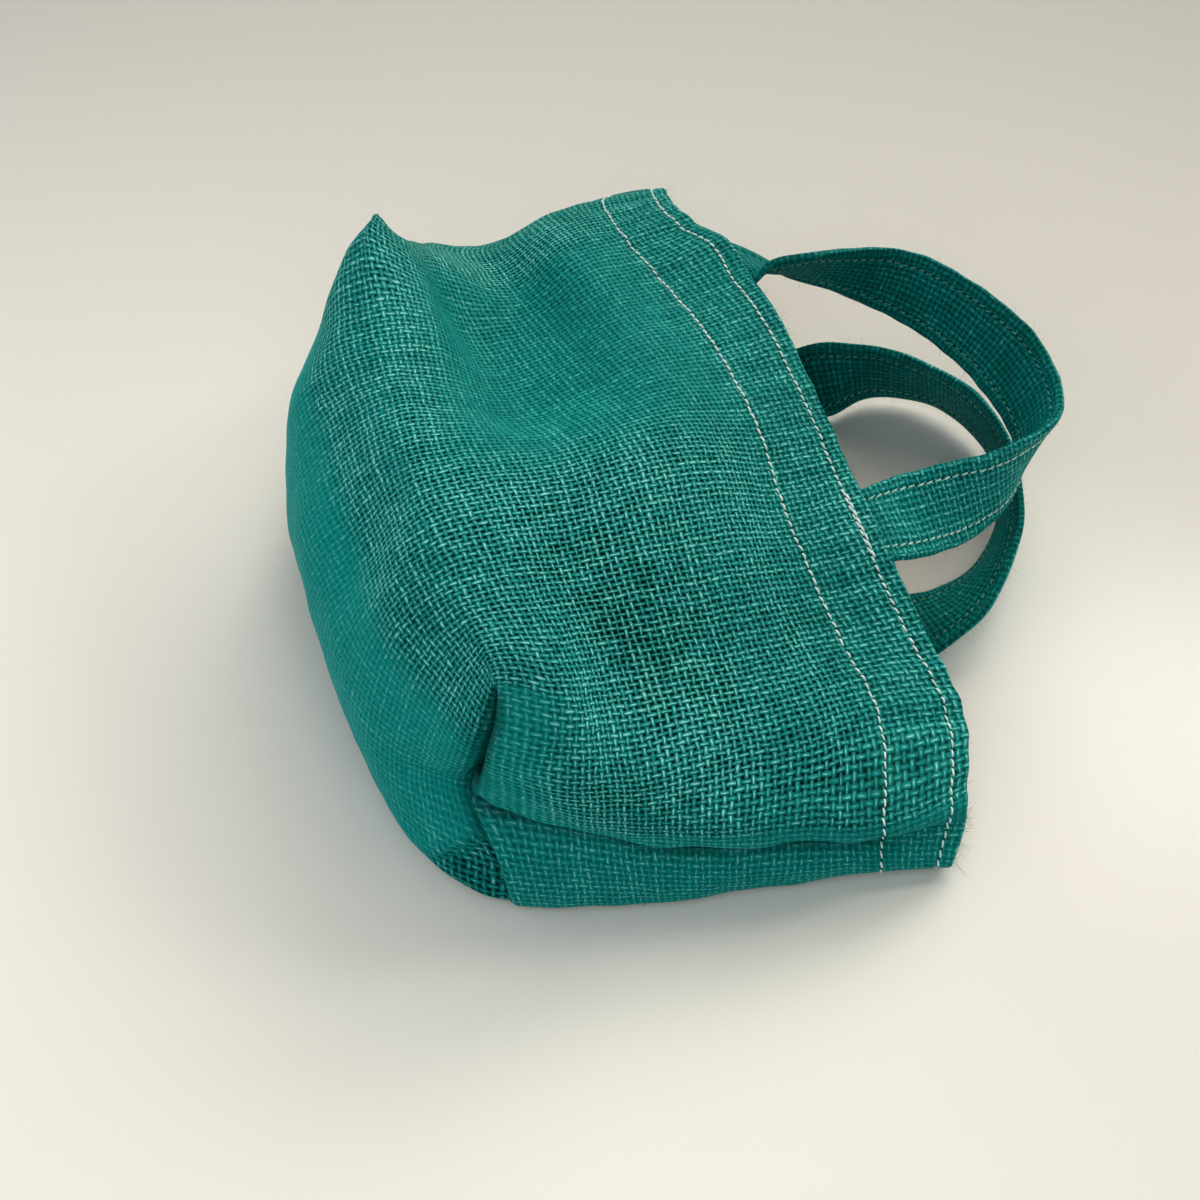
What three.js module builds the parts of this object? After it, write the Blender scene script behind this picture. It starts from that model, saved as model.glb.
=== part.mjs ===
// Lunch bag: a small open tote of coarse plain-woven cloth with a boxed base and two
// short strap handles, lying on its back with its base towards -X and its mouth towards
// +X. Millimetres, +Z up. The underside of the back panel is the plane z = 0.
//
// The bag was cut as one length of cloth: front panel, base and back panel in one run,
// folded at the base, seamed up both sides, with the two bottom corners boxed into
// gussets and the mouth turned in as a hem. So the cloth with its hem is one solid.
// Each handle is a folded strap whose two ends lie inside the hem.
import * as THREE from 'three';

// ---- driving dimensions -------------------------------------------------------------
const MOUTH_WIDTH = 280;                 // flat width of the bag between its side seams
const HEIGHT = 130;                      // base fold to mouth edge
const GUSSET = 114;                      // depth of the boxed base
const HALF = GUSSET / 2;                 // each side seam lies in the middle of a gusset
const LOOP = 2 * MOUTH_WIDTH;            // once round the mouth
const CLOTH = 2;                         // thickness of one layer of cloth with its nap
const HEM_DEPTH = 23;                    // depth of the turned-in hem
const HEM_THICK = 3;                     // thickness of the cloth over the hem
const STRAP_WIDTH = 25;
const STRAP_THICK = 3;
const STRAP_INSERT = 26;                 // how far each strap end runs down inside the hem
const STRAP_GAP = 0.75;                  // clearance between a strap end and the hem
const CENTRE_X = 46.257, CENTRE_Y = 127.371;     // middle of the lying bag in the tables' frame

// Mesh divisions: columns across a panel, columns across a gusset, levels up the wall.
const PANEL_COLUMNS = 20, GUSSET_COLUMNS = 16;
const WALL_LEVELS = [0, 8, 16, 26, 36, 48, 60, 72, 84, 95, 106, 108, 119, 130];
const STRAP_STEP = 6, STRAP_ACROSS = 3;

// ---- how the cloth lies ---------------------------------------------------------------
// Heights up the wall at which each section below is given.
const LEVELS = [0, 16, 36, 60, 84, 107, 130];
// One row for each section of the wall, going round the loop from the near side seam.
// at = distance round the loop; x, y, z = where the middle of the cloth is at each level.
const WALL = [
  { name: 'seam', at: 0, x: [-8.4, 12.4, 31.4, 54.4, 78, 100.6, 124.3], y: [18.8, 14.7, 10.9, 11.6, 15.1, 16.3, 18.7], z: [27.6, 25.5, 24.5, 22.5, 20.5, 16.5, 13.6] },
  { name: 'lip', at: 12, x: [-7.9, 12.5, 31.3, 54.1, 77.4, 99.9, 125], y: [17.9, 8.4, 5.1, 4.8, 8.9, 10.8, 24.5], z: [34, 33, 31, 29, 27, 23, 18] },
  { name: 'side', at: 32, x: [-4.2, 13, 32, 55, 79, 101, 126], y: [17.5, 9, 11, 20, 28, 38, 46], z: [46.5, 48, 43, 39, 36, 31, 25] },
  { name: 'shoulder', at: 57, x: [-0.3, 15, 28, 50, 72, 92, 115.5], y: [25, 24, 34, 42.5, 51.5, 61.5, 69.5], z: [65, 64, 53, 48.5, 43.5, 37, 34.5] },
  { name: 'near', at: 90, x: [-12, 2.5, 18.8, 41.5, 61.5, 79.8, 102.8], y: [46.9, 52.6, 60.3, 69, 79.6, 90, 97.9], z: [77.5, 76.7, 69.7, 66, 58.1, 48.1, 48.1] },
  { name: 'midnear', at: 125, x: [-23.5, -8.3, 10.7, 32.6, 52.9, 70.4, 91.1], y: [79.3, 85.6, 92.5, 101.1, 111, 121.3, 130.5], z: [81.6, 81.3, 77.1, 75.9, 70.3, 59.7, 54.4] },
  { name: 'middle', at: 160, x: [-31.2, -18.1, -2.4, 19, 38.9, 58, 78.9], y: [112.7, 117.8, 123.4, 131.7, 142.8, 153.8, 162.5], z: [81.1, 75.2, 66.4, 66.2, 68.1, 63.4, 64.4] },
  { name: 'midfar', at: 195, x: [-38.2, -24.7, -14.3, 5.8, 24.3, 42.7, 64.4], y: [146.3, 150.8, 156.8, 163.6, 173.8, 185.6, 194.9], z: [82.1, 77.3, 61.9, 60.5, 65.3, 60.3, 61.9] },
  { name: 'farshoulder', at: 223, x: [-43.5, -31, -25.4, -5.4, 12.7, 29.7, 49.2], y: [184, 177, 184.4, 188.1, 198.5, 210.6, 220.4], z: [85, 79, 68.3, 55.9, 62.6, 59.7, 59.1] },
  { name: 'farside', at: 250, x: [-44, -35, -29, -12, 6, 26, 46], y: [196, 195, 206, 213, 222, 234, 242], z: [62, 66, 57, 48, 52, 51, 48] },
  { name: 'farseam', at: 280, x: [-42, -33, -20, -2, 20, 41, 50.5], y: [204, 208, 220, 231, 238, 248, 254.5], z: [44, 42, 35, 32, 33, 32, 27] },
  { name: 'farlow', at: 310, x: [-43, -34, -19, 2, 24, 44, 62], y: [198, 202, 208, 218, 228, 238, 246], z: [16, 15, 11, 8, 8, 7, 4] },
  { name: 'farheel', at: 337, x: [-42, -28, -11, 10, 32, 52, 72], y: [182, 186, 190, 197, 204, 213, 222], z: [1, 1, 1, 1, 1, 1, 1] },
  { name: 'back', at: 420, x: [-25, -10, 9, 32, 55, 78, 97], y: [98, 103, 108, 115, 123, 132, 142], z: [1, 1, 1, 1, 1, 1, 1] },
  { name: 'heel', at: 503, x: [2, 17, 36, 58, 81, 103, 121], y: [26, 28, 31, 35, 41, 49, 60], z: [1, 1, 1, 1, 1, 1, 1] },
  { name: 'roll', at: 535, x: [0.6, 14.6, 33.4, 53.6, 76.6, 101.3, 122.3], y: [0, -0.5, 0, 2.5, 7, 13.5, 22], z: [5, 5, 4.5, 4, 3, 2, 1.2] },
  { name: 'strip', at: 548, x: [-3.3, 13.4, 32.3, 53.6, 76.9, 100.8, 120.8], y: [6, 5, 4, 4, 6.5, 9.5, 11.8], z: [17, 16.5, 15, 13, 11, 8, 4.5] },
];
// The base panel, at columns across it: one row for each distance down from the front fold.
const BASE_COLUMNS = [70, 90, 125, 160, 195];
const BASE = [
  { down: 20, x: [-11.5, -26, -37, -48, -55.5], y: [27.2, 43, 77, 112, 149], z: [57.3, 65, 67, 70, 71] },
  { down: 45, x: [-18.8, -35, -54, -63, -65], y: [24.4, 37, 73, 111, 153], z: [38, 43, 48, 48, 50] },
  { down: 70, x: [-18.2, -36.3, -52.9, -64.5, -65.4], y: [14.8, 32.2, 73.6, 112.7, 153.1], z: [18, 20, 24.2, 24.1, 26.2] },
  { down: 86, x: [-14.5, -33.5, -45, -57.4, -58.6], y: [6.5, 29.5, 74.5, 113, 151.9], z: [6.5, 9, 11.8, 12.2, 14.1] },
  { down: 100, x: [-9.5, -27, -34, -46, -49], y: [15, 33.5, 77, 114, 152], z: [1.8, 3, 4, 4.5, 5] },
];
// Handles. from/to = places round the mouth where the two ends leave the hem (centre of
// the strap); side = which way the inside of the bag is from there. Each row is a section
// of the free run: centre of the strap and its lean, in degrees, from lying flat.
const HANDLES = {
  handle_front: { from: 90.5, to: 194, inside: -1, runs: [
    { x: 114, y: 105.2, z: 42, lean: 26 },
    { x: 126, y: 111.2, z: 40.3, lean: 50 },
    { x: 144, y: 121.5, z: 40.5, lean: 84 },
    { x: 155.3, y: 139.3, z: 41, lean: 113 },
    { x: 151.4, y: 162, z: 43.5, lean: 121 },
    { x: 136.2, y: 181.5, z: 47.4, lean: 112 },
    { x: 115.8, y: 194, z: 51.7, lean: 95 },
    { x: 98, y: 195.5, z: 55.3, lean: 70 },
    { x: 88, y: 194, z: 57.6, lean: 57 },
    { x: 79, y: 192, z: 59, lean: 46 },
  ] },
  handle_back: { from: 472.5, to: 367.5, inside: 1, runs: [
    { x: 132, y: 99.5, z: 10, lean: -30 },
    { x: 143.5, y: 114, z: 13, lean: -61 },
    { x: 149.6, y: 133, z: 14.8, lean: -82 },
    { x: 150.6, y: 153, z: 15.2, lean: -97 },
    { x: 144, y: 171.5, z: 15.2, lean: -104 },
    { x: 130.5, y: 185.5, z: 15.2, lean: -108 },
    { x: 113.6, y: 191, z: 15.2, lean: -96 },
    { x: 95.5, y: 189.5, z: 12.5, lean: -62 },
  ] },
};

// ---- small vector and curve helpers ---------------------------------------------------
const add = (a, b) => [a[0] + b[0], a[1] + b[1], a[2] + b[2]];
const sub = (a, b) => [a[0] - b[0], a[1] - b[1], a[2] - b[2]];
const mul = (a, k) => [a[0] * k, a[1] * k, a[2] * k];
const mix = (a, b, k) => add(mul(a, 1 - k), mul(b, k));
const dot = (a, b) => a[0] * b[0] + a[1] * b[1] + a[2] * b[2];
const cross = (a, b) => [a[1] * b[2] - a[2] * b[1], a[2] * b[0] - a[0] * b[2], a[0] * b[1] - a[1] * b[0]];
const unit = (a) => mul(a, 1 / Math.hypot(...a));
const clamp = (x, lo, hi) => Math.min(hi, Math.max(lo, x));
const smooth = (x) => { const k = clamp(x, 0, 1); return k * k * (3 - 2 * k); };
const around = (u) => ((u % LOOP) + LOOP) % LOOP;

// Smooth curve through points at unevenly spaced knots, with optional end tangents.
function curve(knots, points, t, startTangent, endTangent) {
  const n = knots.length, slope = [], tangent = [];
  for (let i = 0; i < n - 1; i++) slope.push(mul(sub(points[i + 1], points[i]), 1 / (knots[i + 1] - knots[i])));
  for (let i = 1; i < n - 1; i++) {
    const before = knots[i] - knots[i - 1], after = knots[i + 1] - knots[i];
    tangent[i] = mix(slope[i], slope[i - 1], after / (before + after));
  }
  tangent[0] = startTangent || sub(mul(slope[0], 1.5), mul(tangent[1], 0.5));
  tangent[n - 1] = endTangent || sub(mul(slope[n - 2], 1.5), mul(tangent[n - 2], 0.5));
  let k = 0;
  while (k < n - 2 && t >= knots[k + 1]) k++;
  const h = knots[k + 1] - knots[k], s = (t - knots[k]) / h;
  return add(
    add(mul(points[k], (1 + 2 * s) * (1 - s) * (1 - s)), mul(tangent[k], h * s * (1 - s) * (1 - s))),
    add(mul(points[k + 1], s * s * (3 - 2 * s)), mul(tangent[k + 1], h * s * s * (s - 1))));
}

// ---- the cloth's middle surface ---------------------------------------------------------
// Where every level of the wall is at a place u round the loop (the rows wrap round).
const knotsRound = [...WALL.slice(-2).map((w) => w.at - LOOP), ...WALL.map((w) => w.at), ...WALL.slice(0, 3).map((w) => w.at + LOOP)];
const rowsRound = [...WALL.slice(-2), ...WALL, ...WALL.slice(0, 3)];
function section(u) {
  return LEVELS.map((_, i) => curve(knotsRound, rowsRound.map((w) => [w.x[i], w.y[i], w.z[i]]), around(u)));
}
const gussetSeam = (down, far) => (far ? HALF + MOUTH_WIDTH - GUSSET + down : around(HALF - down));
const NEAR = HALF, FAR = MOUTH_WIDTH - HALF;       // columns of the base panel's two ends
function baseRows(u) {
  return BASE.map((row) => curve(
    [NEAR, ...BASE_COLUMNS, FAR],
    [section(gussetSeam(row.down, false))[0], ...row.x.map((x, i) => [x, row.y[i], row.z[i]]), section(gussetSeam(row.down, true))[0]], u));
}
// Tangents with which the wall leaves the base at the front and back folds.
function foldTangents(u) {
  const rows = baseRows(u), front = section(u), back = section(LOOP - u);
  const [first, last] = [BASE[0].down, GUSSET - BASE[BASE.length - 1].down], up = LEVELS[1];
  const join = (panel, wall, reach) => add(mul(panel, up / (up + reach)), mul(wall, reach / (up + reach)));
  return {
    front: join(mul(sub(front[0], rows[0]), 1 / first), mul(sub(front[1], front[0]), 1 / up), first),
    back: join(mul(sub(back[0], rows[rows.length - 1]), 1 / last), mul(sub(back[1], back[0]), 1 / up), last),
    rows, front0: front[0], back0: back[0],
  };
}
// A point of the wall: u round the loop, v up from the base fold.
function wallColumn(u) {
  const at = around(u), levels = section(at), w0 = LEVELS[1] - LEVELS[0], w1 = LEVELS[2] - LEVELS[1];
  const first = mul(sub(levels[1], levels[0]), 1 / w0), second = mul(sub(levels[2], levels[1]), 1 / w1);
  const free = sub(mul(first, 1.5), mul(add(mul(first, w1 / (w0 + w1)), mul(second, w0 / (w0 + w1))), 0.5));
  const onFront = at < MOUTH_WIDTH;
  const column = onFront ? clamp(at, NEAR, FAR) : clamp(LOOP - at, NEAR, FAR);
  const outside = Math.abs((onFront ? at : LOOP - at) - column);
  const keep = 1 - smooth(outside / 14);
  const fold = keep > 0 ? foldTangents(column)[onFront ? 'front' : 'back'] : free;
  const start = add(mul(free, 1 - keep), mul(fold, keep));
  return (v) => curve(LEVELS, levels, v, start);
}
// A point of the base panel: column u, s down from the front fold.
function baseColumn(u) {
  const knots = [0, ...BASE.map((row) => row.down), GUSSET];
  const plain = (column) => {
    const f = foldTangents(column);
    return (s) => curve(knots, [f.front0, ...f.rows, f.back0], s, mul(f.front, -1), f.back);
  };
  const here = plain(u), near = plain(NEAR), far = plain(FAR);
  const nearShare = 1 - smooth((u - NEAR) / 30), farShare = 1 - smooth((FAR - u) / 26);
  return (s) => {
    let p = here(s);
    if (nearShare > 0) p = add(p, mul(sub(section(gussetSeam(s, false))[0], near(s)), nearShare));
    if (farShare > 0) p = add(p, mul(sub(section(gussetSeam(s, true))[0], far(s)), farShare));
    return p;
  };
}

// ---- meshes --------------------------------------------------------------------------------
function toGeometry(points, triangles) {
  const geometry = new THREE.BufferGeometry();
  const flat = new Float32Array(points.length * 3);
  points.forEach((p, i) => flat.set([p[0] - CENTRE_X, p[1] - CENTRE_Y, p[2]], i * 3));
  geometry.setAttribute('position', new THREE.BufferAttribute(flat, 3));
  geometry.setIndex(triangles.flat());
  geometry.computeVertexNormals();
  return geometry;
}
function vertexNormals(points, triangles) {
  const normals = points.map(() => [0, 0, 0]);
  for (const [a, b, c] of triangles) {
    const n = cross(sub(points[b], points[a]), sub(points[c], points[a]));
    for (const i of [a, b, c]) normals[i] = add(normals[i], n);
  }
  return normals.map(unit);
}

function bagGeometry() {
  // Columns round the loop: front panel, far gusset, back panel, near gusset.
  const columns = [];
  const spread = (from, width, count) => { for (let i = 0; i < count; i++) columns.push(from + (width * i) / count); };
  const panel = MOUTH_WIDTH - GUSSET;
  spread(NEAR, panel, PANEL_COLUMNS);
  spread(FAR, GUSSET, GUSSET_COLUMNS);
  spread(FAR + GUSSET, panel, PANEL_COLUMNS);
  spread(FAR + GUSSET + panel, GUSSET, GUSSET_COLUMNS);
  const count = columns.length, levels = WALL_LEVELS.length;
  const points = [], half = [], triangles = [];
  columns.forEach((u) => {
    const at = wallColumn(u);
    WALL_LEVELS.forEach((v) => { points.push(at(v)); half.push((v > HEIGHT - HEM_DEPTH ? HEM_THICK : CLOTH) / 2); });
  });
  const wall = (column, level) => ((column % count) + count) % count * levels + level;
  const quad = (a, b, c, d) => { triangles.push([a, b, c], [a, c, d]); };
  for (let i = 0; i < count; i++) for (let j = 0; j < levels - 1; j++) quad(wall(i, j), wall(i + 1, j), wall(i + 1, j + 1), wall(i, j + 1));
  // Base panel, sharing the wall's lowest points along its four edges.
  const base = [];
  for (let i = 0; i <= PANEL_COLUMNS; i++) {
    const u = NEAR + (panel * i) / PANEL_COLUMNS, at = i > 0 && i < PANEL_COLUMNS ? baseColumn(u) : null;
    base.push([]);
    for (let j = 0; j <= GUSSET_COLUMNS; j++) {
      if (j === 0) base[i].push(wall(i, 0));
      else if (j === GUSSET_COLUMNS) base[i].push(wall(2 * PANEL_COLUMNS + GUSSET_COLUMNS - i, 0));
      else if (i === 0) base[i].push(wall(-j, 0));
      else if (i === PANEL_COLUMNS) base[i].push(wall(PANEL_COLUMNS + j, 0));
      else { base[i].push(points.length); points.push(at((GUSSET * j) / GUSSET_COLUMNS)); half.push(CLOTH / 2); }
    }
  }
  for (let i = 0; i < PANEL_COLUMNS; i++) for (let j = 0; j < GUSSET_COLUMNS; j++) quad(base[i][j], base[i][j + 1], base[i + 1][j + 1], base[i + 1][j]);
  // Two faces of the cloth, and the edge at the mouth.
  const normals = vertexNormals(points, triangles), n = points.length;
  const settle = (p) => (p[2] < 0.3 ? [p[0], p[1], 0] : p);
  const shell = [...points.map((p, i) => settle(add(p, mul(normals[i], half[i])))), ...points.map((p, i) => settle(sub(p, mul(normals[i], half[i]))))];
  const faces = [...triangles, ...triangles.map(([a, b, c]) => [a + n, c + n, b + n])];
  for (let i = 0; i < count; i++) {
    const a = wall(i, levels - 1), b = wall(i + 1, levels - 1);
    faces.push([a, b, b + n], [a, b + n, a + n]);
  }
  return toGeometry(shell, faces);
}

function handleGeometry({ from, to, inside, runs }) {
  const across = [];
  for (let i = 0; i <= STRAP_ACROSS; i++) across.push(STRAP_WIDTH * (i / STRAP_ACROSS - 0.5));
  const off = HEM_THICK / 2 + STRAP_GAP + STRAP_THICK / 2;
  // A section of the strap where it lies against the inside of the hem.
  const againstHem = (u, v, sign) => across.map((a) => {
    const here = u + sign * a, p = wallColumn(here)(v), e = 1.5;
    const du = sub(wallColumn(here + e)(v), wallColumn(here - e)(v)), dv = sub(wallColumn(here)(Math.min(v + e, HEIGHT)), wallColumn(here)(v - e));
    let n = unit(cross(du, dv));
    if (n[2] * inside < 0) n = mul(n, -1);
    return add(p, mul(n, off));
  });
  const turn = from < to ? 1 : -1;
  const inserts = [HEIGHT - STRAP_INSERT, HEIGHT - 17, HEIGHT - 8, HEIGHT];
  const start = inserts.map((v) => againstHem(from, v, turn)), end = inserts.map((v) => againstHem(to, v, -turn)).reverse();
  const middle = (rowPoints) => mul(rowPoints.reduce(add), 1 / rowPoints.length);
  const centres = [middle(start[3]), ...runs.map((r) => [r.x, r.y, r.z]), middle(end[0])];
  const free = runs.map((r, i) => {
    const run = unit(sub(centres[i + 2], centres[i])), flat = unit(cross([0, 0, 1], run)), rise = cross(run, flat), lean = (r.lean * Math.PI) / 180;
    const width = add(mul(flat, Math.cos(lean)), mul(rise, Math.sin(lean)));
    return across.map((a) => add(centres[i + 1], mul(width, a)));
  });
  const rows = [...start, ...free, ...end], mids = rows.map(middle), knots = [0];
  for (let i = 1; i < rows.length; i++) knots.push(knots[i - 1] + Math.hypot(...sub(mids[i], mids[i - 1])));
  const length = knots[knots.length - 1], steps = Math.round(length / STRAP_STEP);
  const points = [], triangles = [];
  for (let i = 0; i <= steps; i++) across.forEach((_, j) => points.push(curve(knots, rows.map((row) => row[j]), (length * i) / steps)));
  const wide = STRAP_ACROSS + 1, id = (i, j) => i * wide + j;
  for (let i = 0; i < steps; i++) for (let j = 0; j < STRAP_ACROSS; j++) triangles.push([id(i, j), id(i + 1, j), id(i + 1, j + 1)], [id(i, j), id(i + 1, j + 1), id(i, j + 1)]);
  const normals = vertexNormals(points, triangles), n = points.length, h = STRAP_THICK / 2;
  const shell = [...points.map((p, i) => add(p, mul(normals[i], h))), ...points.map((p, i) => sub(p, mul(normals[i], h)))];
  const faces = [...triangles, ...triangles.map(([a, b, c]) => [a + n, c + n, b + n])];
  const border = [];
  for (let i = 0; i < steps; i++) border.push([id(i, 0), id(i + 1, 0)]);
  for (let j = 0; j < STRAP_ACROSS; j++) border.push([id(steps, j), id(steps, j + 1)]);
  for (let i = steps; i > 0; i--) border.push([id(i, STRAP_ACROSS), id(i - 1, STRAP_ACROSS)]);
  for (let j = STRAP_ACROSS; j > 0; j--) border.push([id(0, j), id(0, j - 1)]);
  for (const [a, b] of border) faces.push([b, a, a + n], [b, a + n, b + n]);
  return toGeometry(shell, faces);
}

// ---- the object -----------------------------------------------------------------------------
const cloth = (colour) => new THREE.MeshStandardMaterial({ color: colour, roughness: 0.95, metalness: 0 });
const bag = new THREE.Group();
const piece = (name, geometry, colour) => {
  const mesh = new THREE.Mesh(geometry, cloth(colour));
  mesh.name = name;
  bag.add(mesh);
};
piece('body', bagGeometry(), 0x14806f);
for (const [name, handle] of Object.entries(HANDLES)) piece(name, handleGeometry(handle), 0x0f7263);
export default bag;
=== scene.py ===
# Lunch bag of coarse plain-woven jute, lying on its back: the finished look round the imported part.
import bpy, math
import numpy as np
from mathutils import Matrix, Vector


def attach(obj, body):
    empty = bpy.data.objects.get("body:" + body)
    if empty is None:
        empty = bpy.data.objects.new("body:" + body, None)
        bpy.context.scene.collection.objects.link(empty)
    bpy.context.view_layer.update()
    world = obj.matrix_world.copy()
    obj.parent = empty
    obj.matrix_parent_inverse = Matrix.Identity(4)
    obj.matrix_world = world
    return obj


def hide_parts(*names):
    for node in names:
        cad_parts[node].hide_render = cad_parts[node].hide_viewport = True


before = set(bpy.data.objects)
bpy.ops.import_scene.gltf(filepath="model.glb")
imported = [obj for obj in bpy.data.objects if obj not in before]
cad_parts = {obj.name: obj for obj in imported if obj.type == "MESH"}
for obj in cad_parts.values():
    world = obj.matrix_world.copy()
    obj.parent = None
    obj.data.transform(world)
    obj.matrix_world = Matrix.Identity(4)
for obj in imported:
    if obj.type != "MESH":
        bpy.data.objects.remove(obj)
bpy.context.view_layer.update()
MM = 0.001
rng = np.random.default_rng(7)

# ---------------------------------------------------------------- sizes (mm)
MOUTH_WIDTH, HEIGHT, GUSSET = 280.0, 130.0, 114.0
HALF, LOOP = GUSSET / 2, 2 * 280.0
NEAR, FAR = HALF, MOUTH_WIDTH - HALF
CENTRE = np.array([46.257, 127.371, 0.0])      # middle of the lying bag in the tables' frame
WARP, WEFT = 1.68, 1.97                      # pitch of the threads up the bag, and along the mouth
CLOTH = 0.9                                  # one layer
HEM_DEPTH, HEM_THICK = 23.5, 2.3
STRAP_WIDTH, STRAP_THICK, STRAP_INSERT = 25.0, 2.6, 26.0

# ---------------------------------------------------------------- light
FLOOR = (0.75, 0.75, 0.75)
WORLD = 0.0
LIGHTS = (    # name, place, aimed at (metres), size, spread in degrees, watts, colour
    ("far0", (2.563, 2.563, 1.690), (0, 0, 0), 1.70, 180, 31.8, (1.000, 0.997, 0.932)),
    ("near1", (0.000, -0.450, 0.779), (0, 0, 0), 0.60, 180, 1.30, (0.903, 1.000, 0.973)),
    ("beam3", (0.472, 1.169, 0.985), (-0.12, -0.28, 0), 1.04, 50, 1.896, (1.000, 0.880, 0.727)),
    ("beam4", (0.000, 0.676, 1.450), (-0.12, -0.28, 0), 1.04, 50, 0.905, (1.000, 0.881, 0.718)),
    ("beam5", (1.152, 0.419, 1.028), (0.1, -0.32, 0), 0.45, 50, 0.62, (1.000, 0.952, 0.773)),
    ("pos16", (0.000, -0.600, 0.500), (0, 0, 0), 0.50, 180, 0.84, (0.979, 1.000, 0.933)),
    ("pos27", (-0.300, -0.450, 0.400), (0, 0, 0), 0.50, 180, 0.56, (1.000, 0.980, 0.886)),
    ("pos48", (-0.500, 0.000, 0.350), (0, 0, 0), 0.50, 180, 0.85, (0.983, 1.000, 0.987)),
    ("right_floor", (0.168, -0.066, 0.62), (0.153, -0.063, 0.0), 0.12, 11.0, 0.0070, (1.0, 0.985, 0.95)),
)

# ---------------------------------------------------------------- how the cloth lies
LEVELS = np.array([0, 16, 36, 60, 84, 107, 130], float)
# section: (distance round the loop, x, y, z at each level)
WALL = {
    "seam": (0, (-8.4, 12.4, 31.4, 54.4, 78, 100.6, 124.3), (18.8, 14.7, 10.9, 11.6, 15.1, 16.3, 18.7), (27.6, 25.5, 24.5, 22.5, 20.5, 16.5, 13.6)),
    "lip": (12, (-7.9, 12.5, 31.3, 54.1, 77.4, 99.9, 125), (17.9, 8.4, 5.1, 4.8, 8.9, 10.8, 24.5), (34, 33, 31, 29, 27, 23, 18)),
    "side": (32, (-4.2, 13, 32, 55, 79, 101, 126), (17.5, 9, 11, 20, 28, 38, 46), (46.5, 48, 43, 39, 36, 31, 25)),
    "shoulder": (57, (-0.3, 15, 28, 50, 72, 92, 115.5), (25, 24, 34, 42.5, 51.5, 61.5, 69.5), (65, 64, 53, 48.5, 43.5, 37, 34.5)),
    "near": (90, (-12, 2.5, 18.8, 41.5, 61.5, 79.8, 102.8), (46.9, 52.6, 60.3, 69, 79.6, 90, 97.9), (77.5, 76.7, 69.7, 66, 58.1, 48.1, 48.1)),
    "midnear": (125, (-23.5, -8.3, 10.7, 32.6, 52.9, 70.4, 91.1), (79.3, 85.6, 92.5, 101.1, 111, 121.3, 130.5), (81.6, 81.3, 77.1, 75.9, 70.3, 59.7, 54.4)),
    "middle": (160, (-31.2, -18.1, -2.4, 19, 38.9, 58, 78.9), (112.7, 117.8, 123.4, 131.7, 142.8, 153.8, 162.5), (81.1, 75.2, 66.4, 66.2, 68.1, 63.4, 64.4)),
    "midfar": (195, (-38.2, -24.7, -14.3, 5.8, 24.3, 42.7, 64.4), (146.3, 150.8, 156.8, 163.6, 173.8, 185.6, 194.9), (82.1, 77.3, 61.9, 60.5, 65.3, 60.3, 61.9)),
    "farshoulder": (223, (-43.5, -31, -25.4, -5.4, 12.7, 29.7, 49.2), (184, 177, 184.4, 188.1, 198.5, 210.6, 220.4), (85, 79, 68.3, 55.9, 62.6, 59.7, 59.1)),
    "farside": (250, (-44, -35, -29, -12, 6, 26, 46), (196, 195, 206, 213, 222, 234, 242), (62, 66, 57, 48, 52, 51, 48)),
    "farseam": (280, (-42, -33, -20, -2, 20, 41, 50.5), (204, 208, 220, 231, 238, 248, 254.5), (44, 42, 35, 32, 33, 32, 27)),
    "farlow": (310, (-43, -34, -19, 2, 24, 44, 62), (198, 202, 208, 218, 228, 238, 246), (16, 15, 11, 8, 8, 7, 4)),
    "farheel": (337, (-42, -28, -11, 10, 32, 52, 72), (182, 186, 190, 197, 204, 213, 222), (1, 1, 1, 1, 1, 1, 1)),
    "back": (420, (-25, -10, 9, 32, 55, 78, 97), (98, 103, 108, 115, 123, 132, 142), (1, 1, 1, 1, 1, 1, 1)),
    "heel": (503, (2, 17, 36, 58, 81, 103, 121), (26, 28, 31, 35, 41, 49, 60), (1, 1, 1, 1, 1, 1, 1)),
    "roll": (535, (0.6, 14.6, 33.4, 53.6, 76.6, 101.3, 122.3), (0, -0.5, 0, 2.5, 7, 13.5, 22), (5, 5, 4.5, 4, 3, 2, 1.2)),
    "strip": (548, (-3.3, 13.4, 32.3, 53.6, 76.9, 100.8, 120.8), (6, 5, 4, 4, 6.5, 9.5, 11.8), (17, 16.5, 15, 13, 11, 8, 4.5)),
}
BASE_COLUMNS = np.array([70, 90, 125, 160, 195], float)
# base panel: distance down from the front fold: (x, y, z at each column)
BASE = {
    20: ((-11.5, -26, -37, -48, -55.5), (27.2, 43, 77, 112, 149), (57.3, 65, 67, 70, 71)),
    45: ((-18.8, -35, -54, -63, -65), (24.4, 37, 73, 111, 153), (38, 43, 48, 48, 50)),
    70: ((-18.2, -36.3, -52.9, -64.5, -65.4), (14.8, 32.2, 73.6, 112.7, 153.1), (18, 20, 24.2, 24.1, 26.2)),
    86: ((-14.5, -33.5, -45, -57.4, -58.6), (6.5, 29.5, 74.5, 113, 151.9), (6.5, 9, 11.8, 12.2, 14.1)),
    100: ((-9.5, -27, -34, -46, -49), (15, 33.5, 77, 114, 152), (1.8, 3, 4, 4.5, 5)),
}
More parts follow.
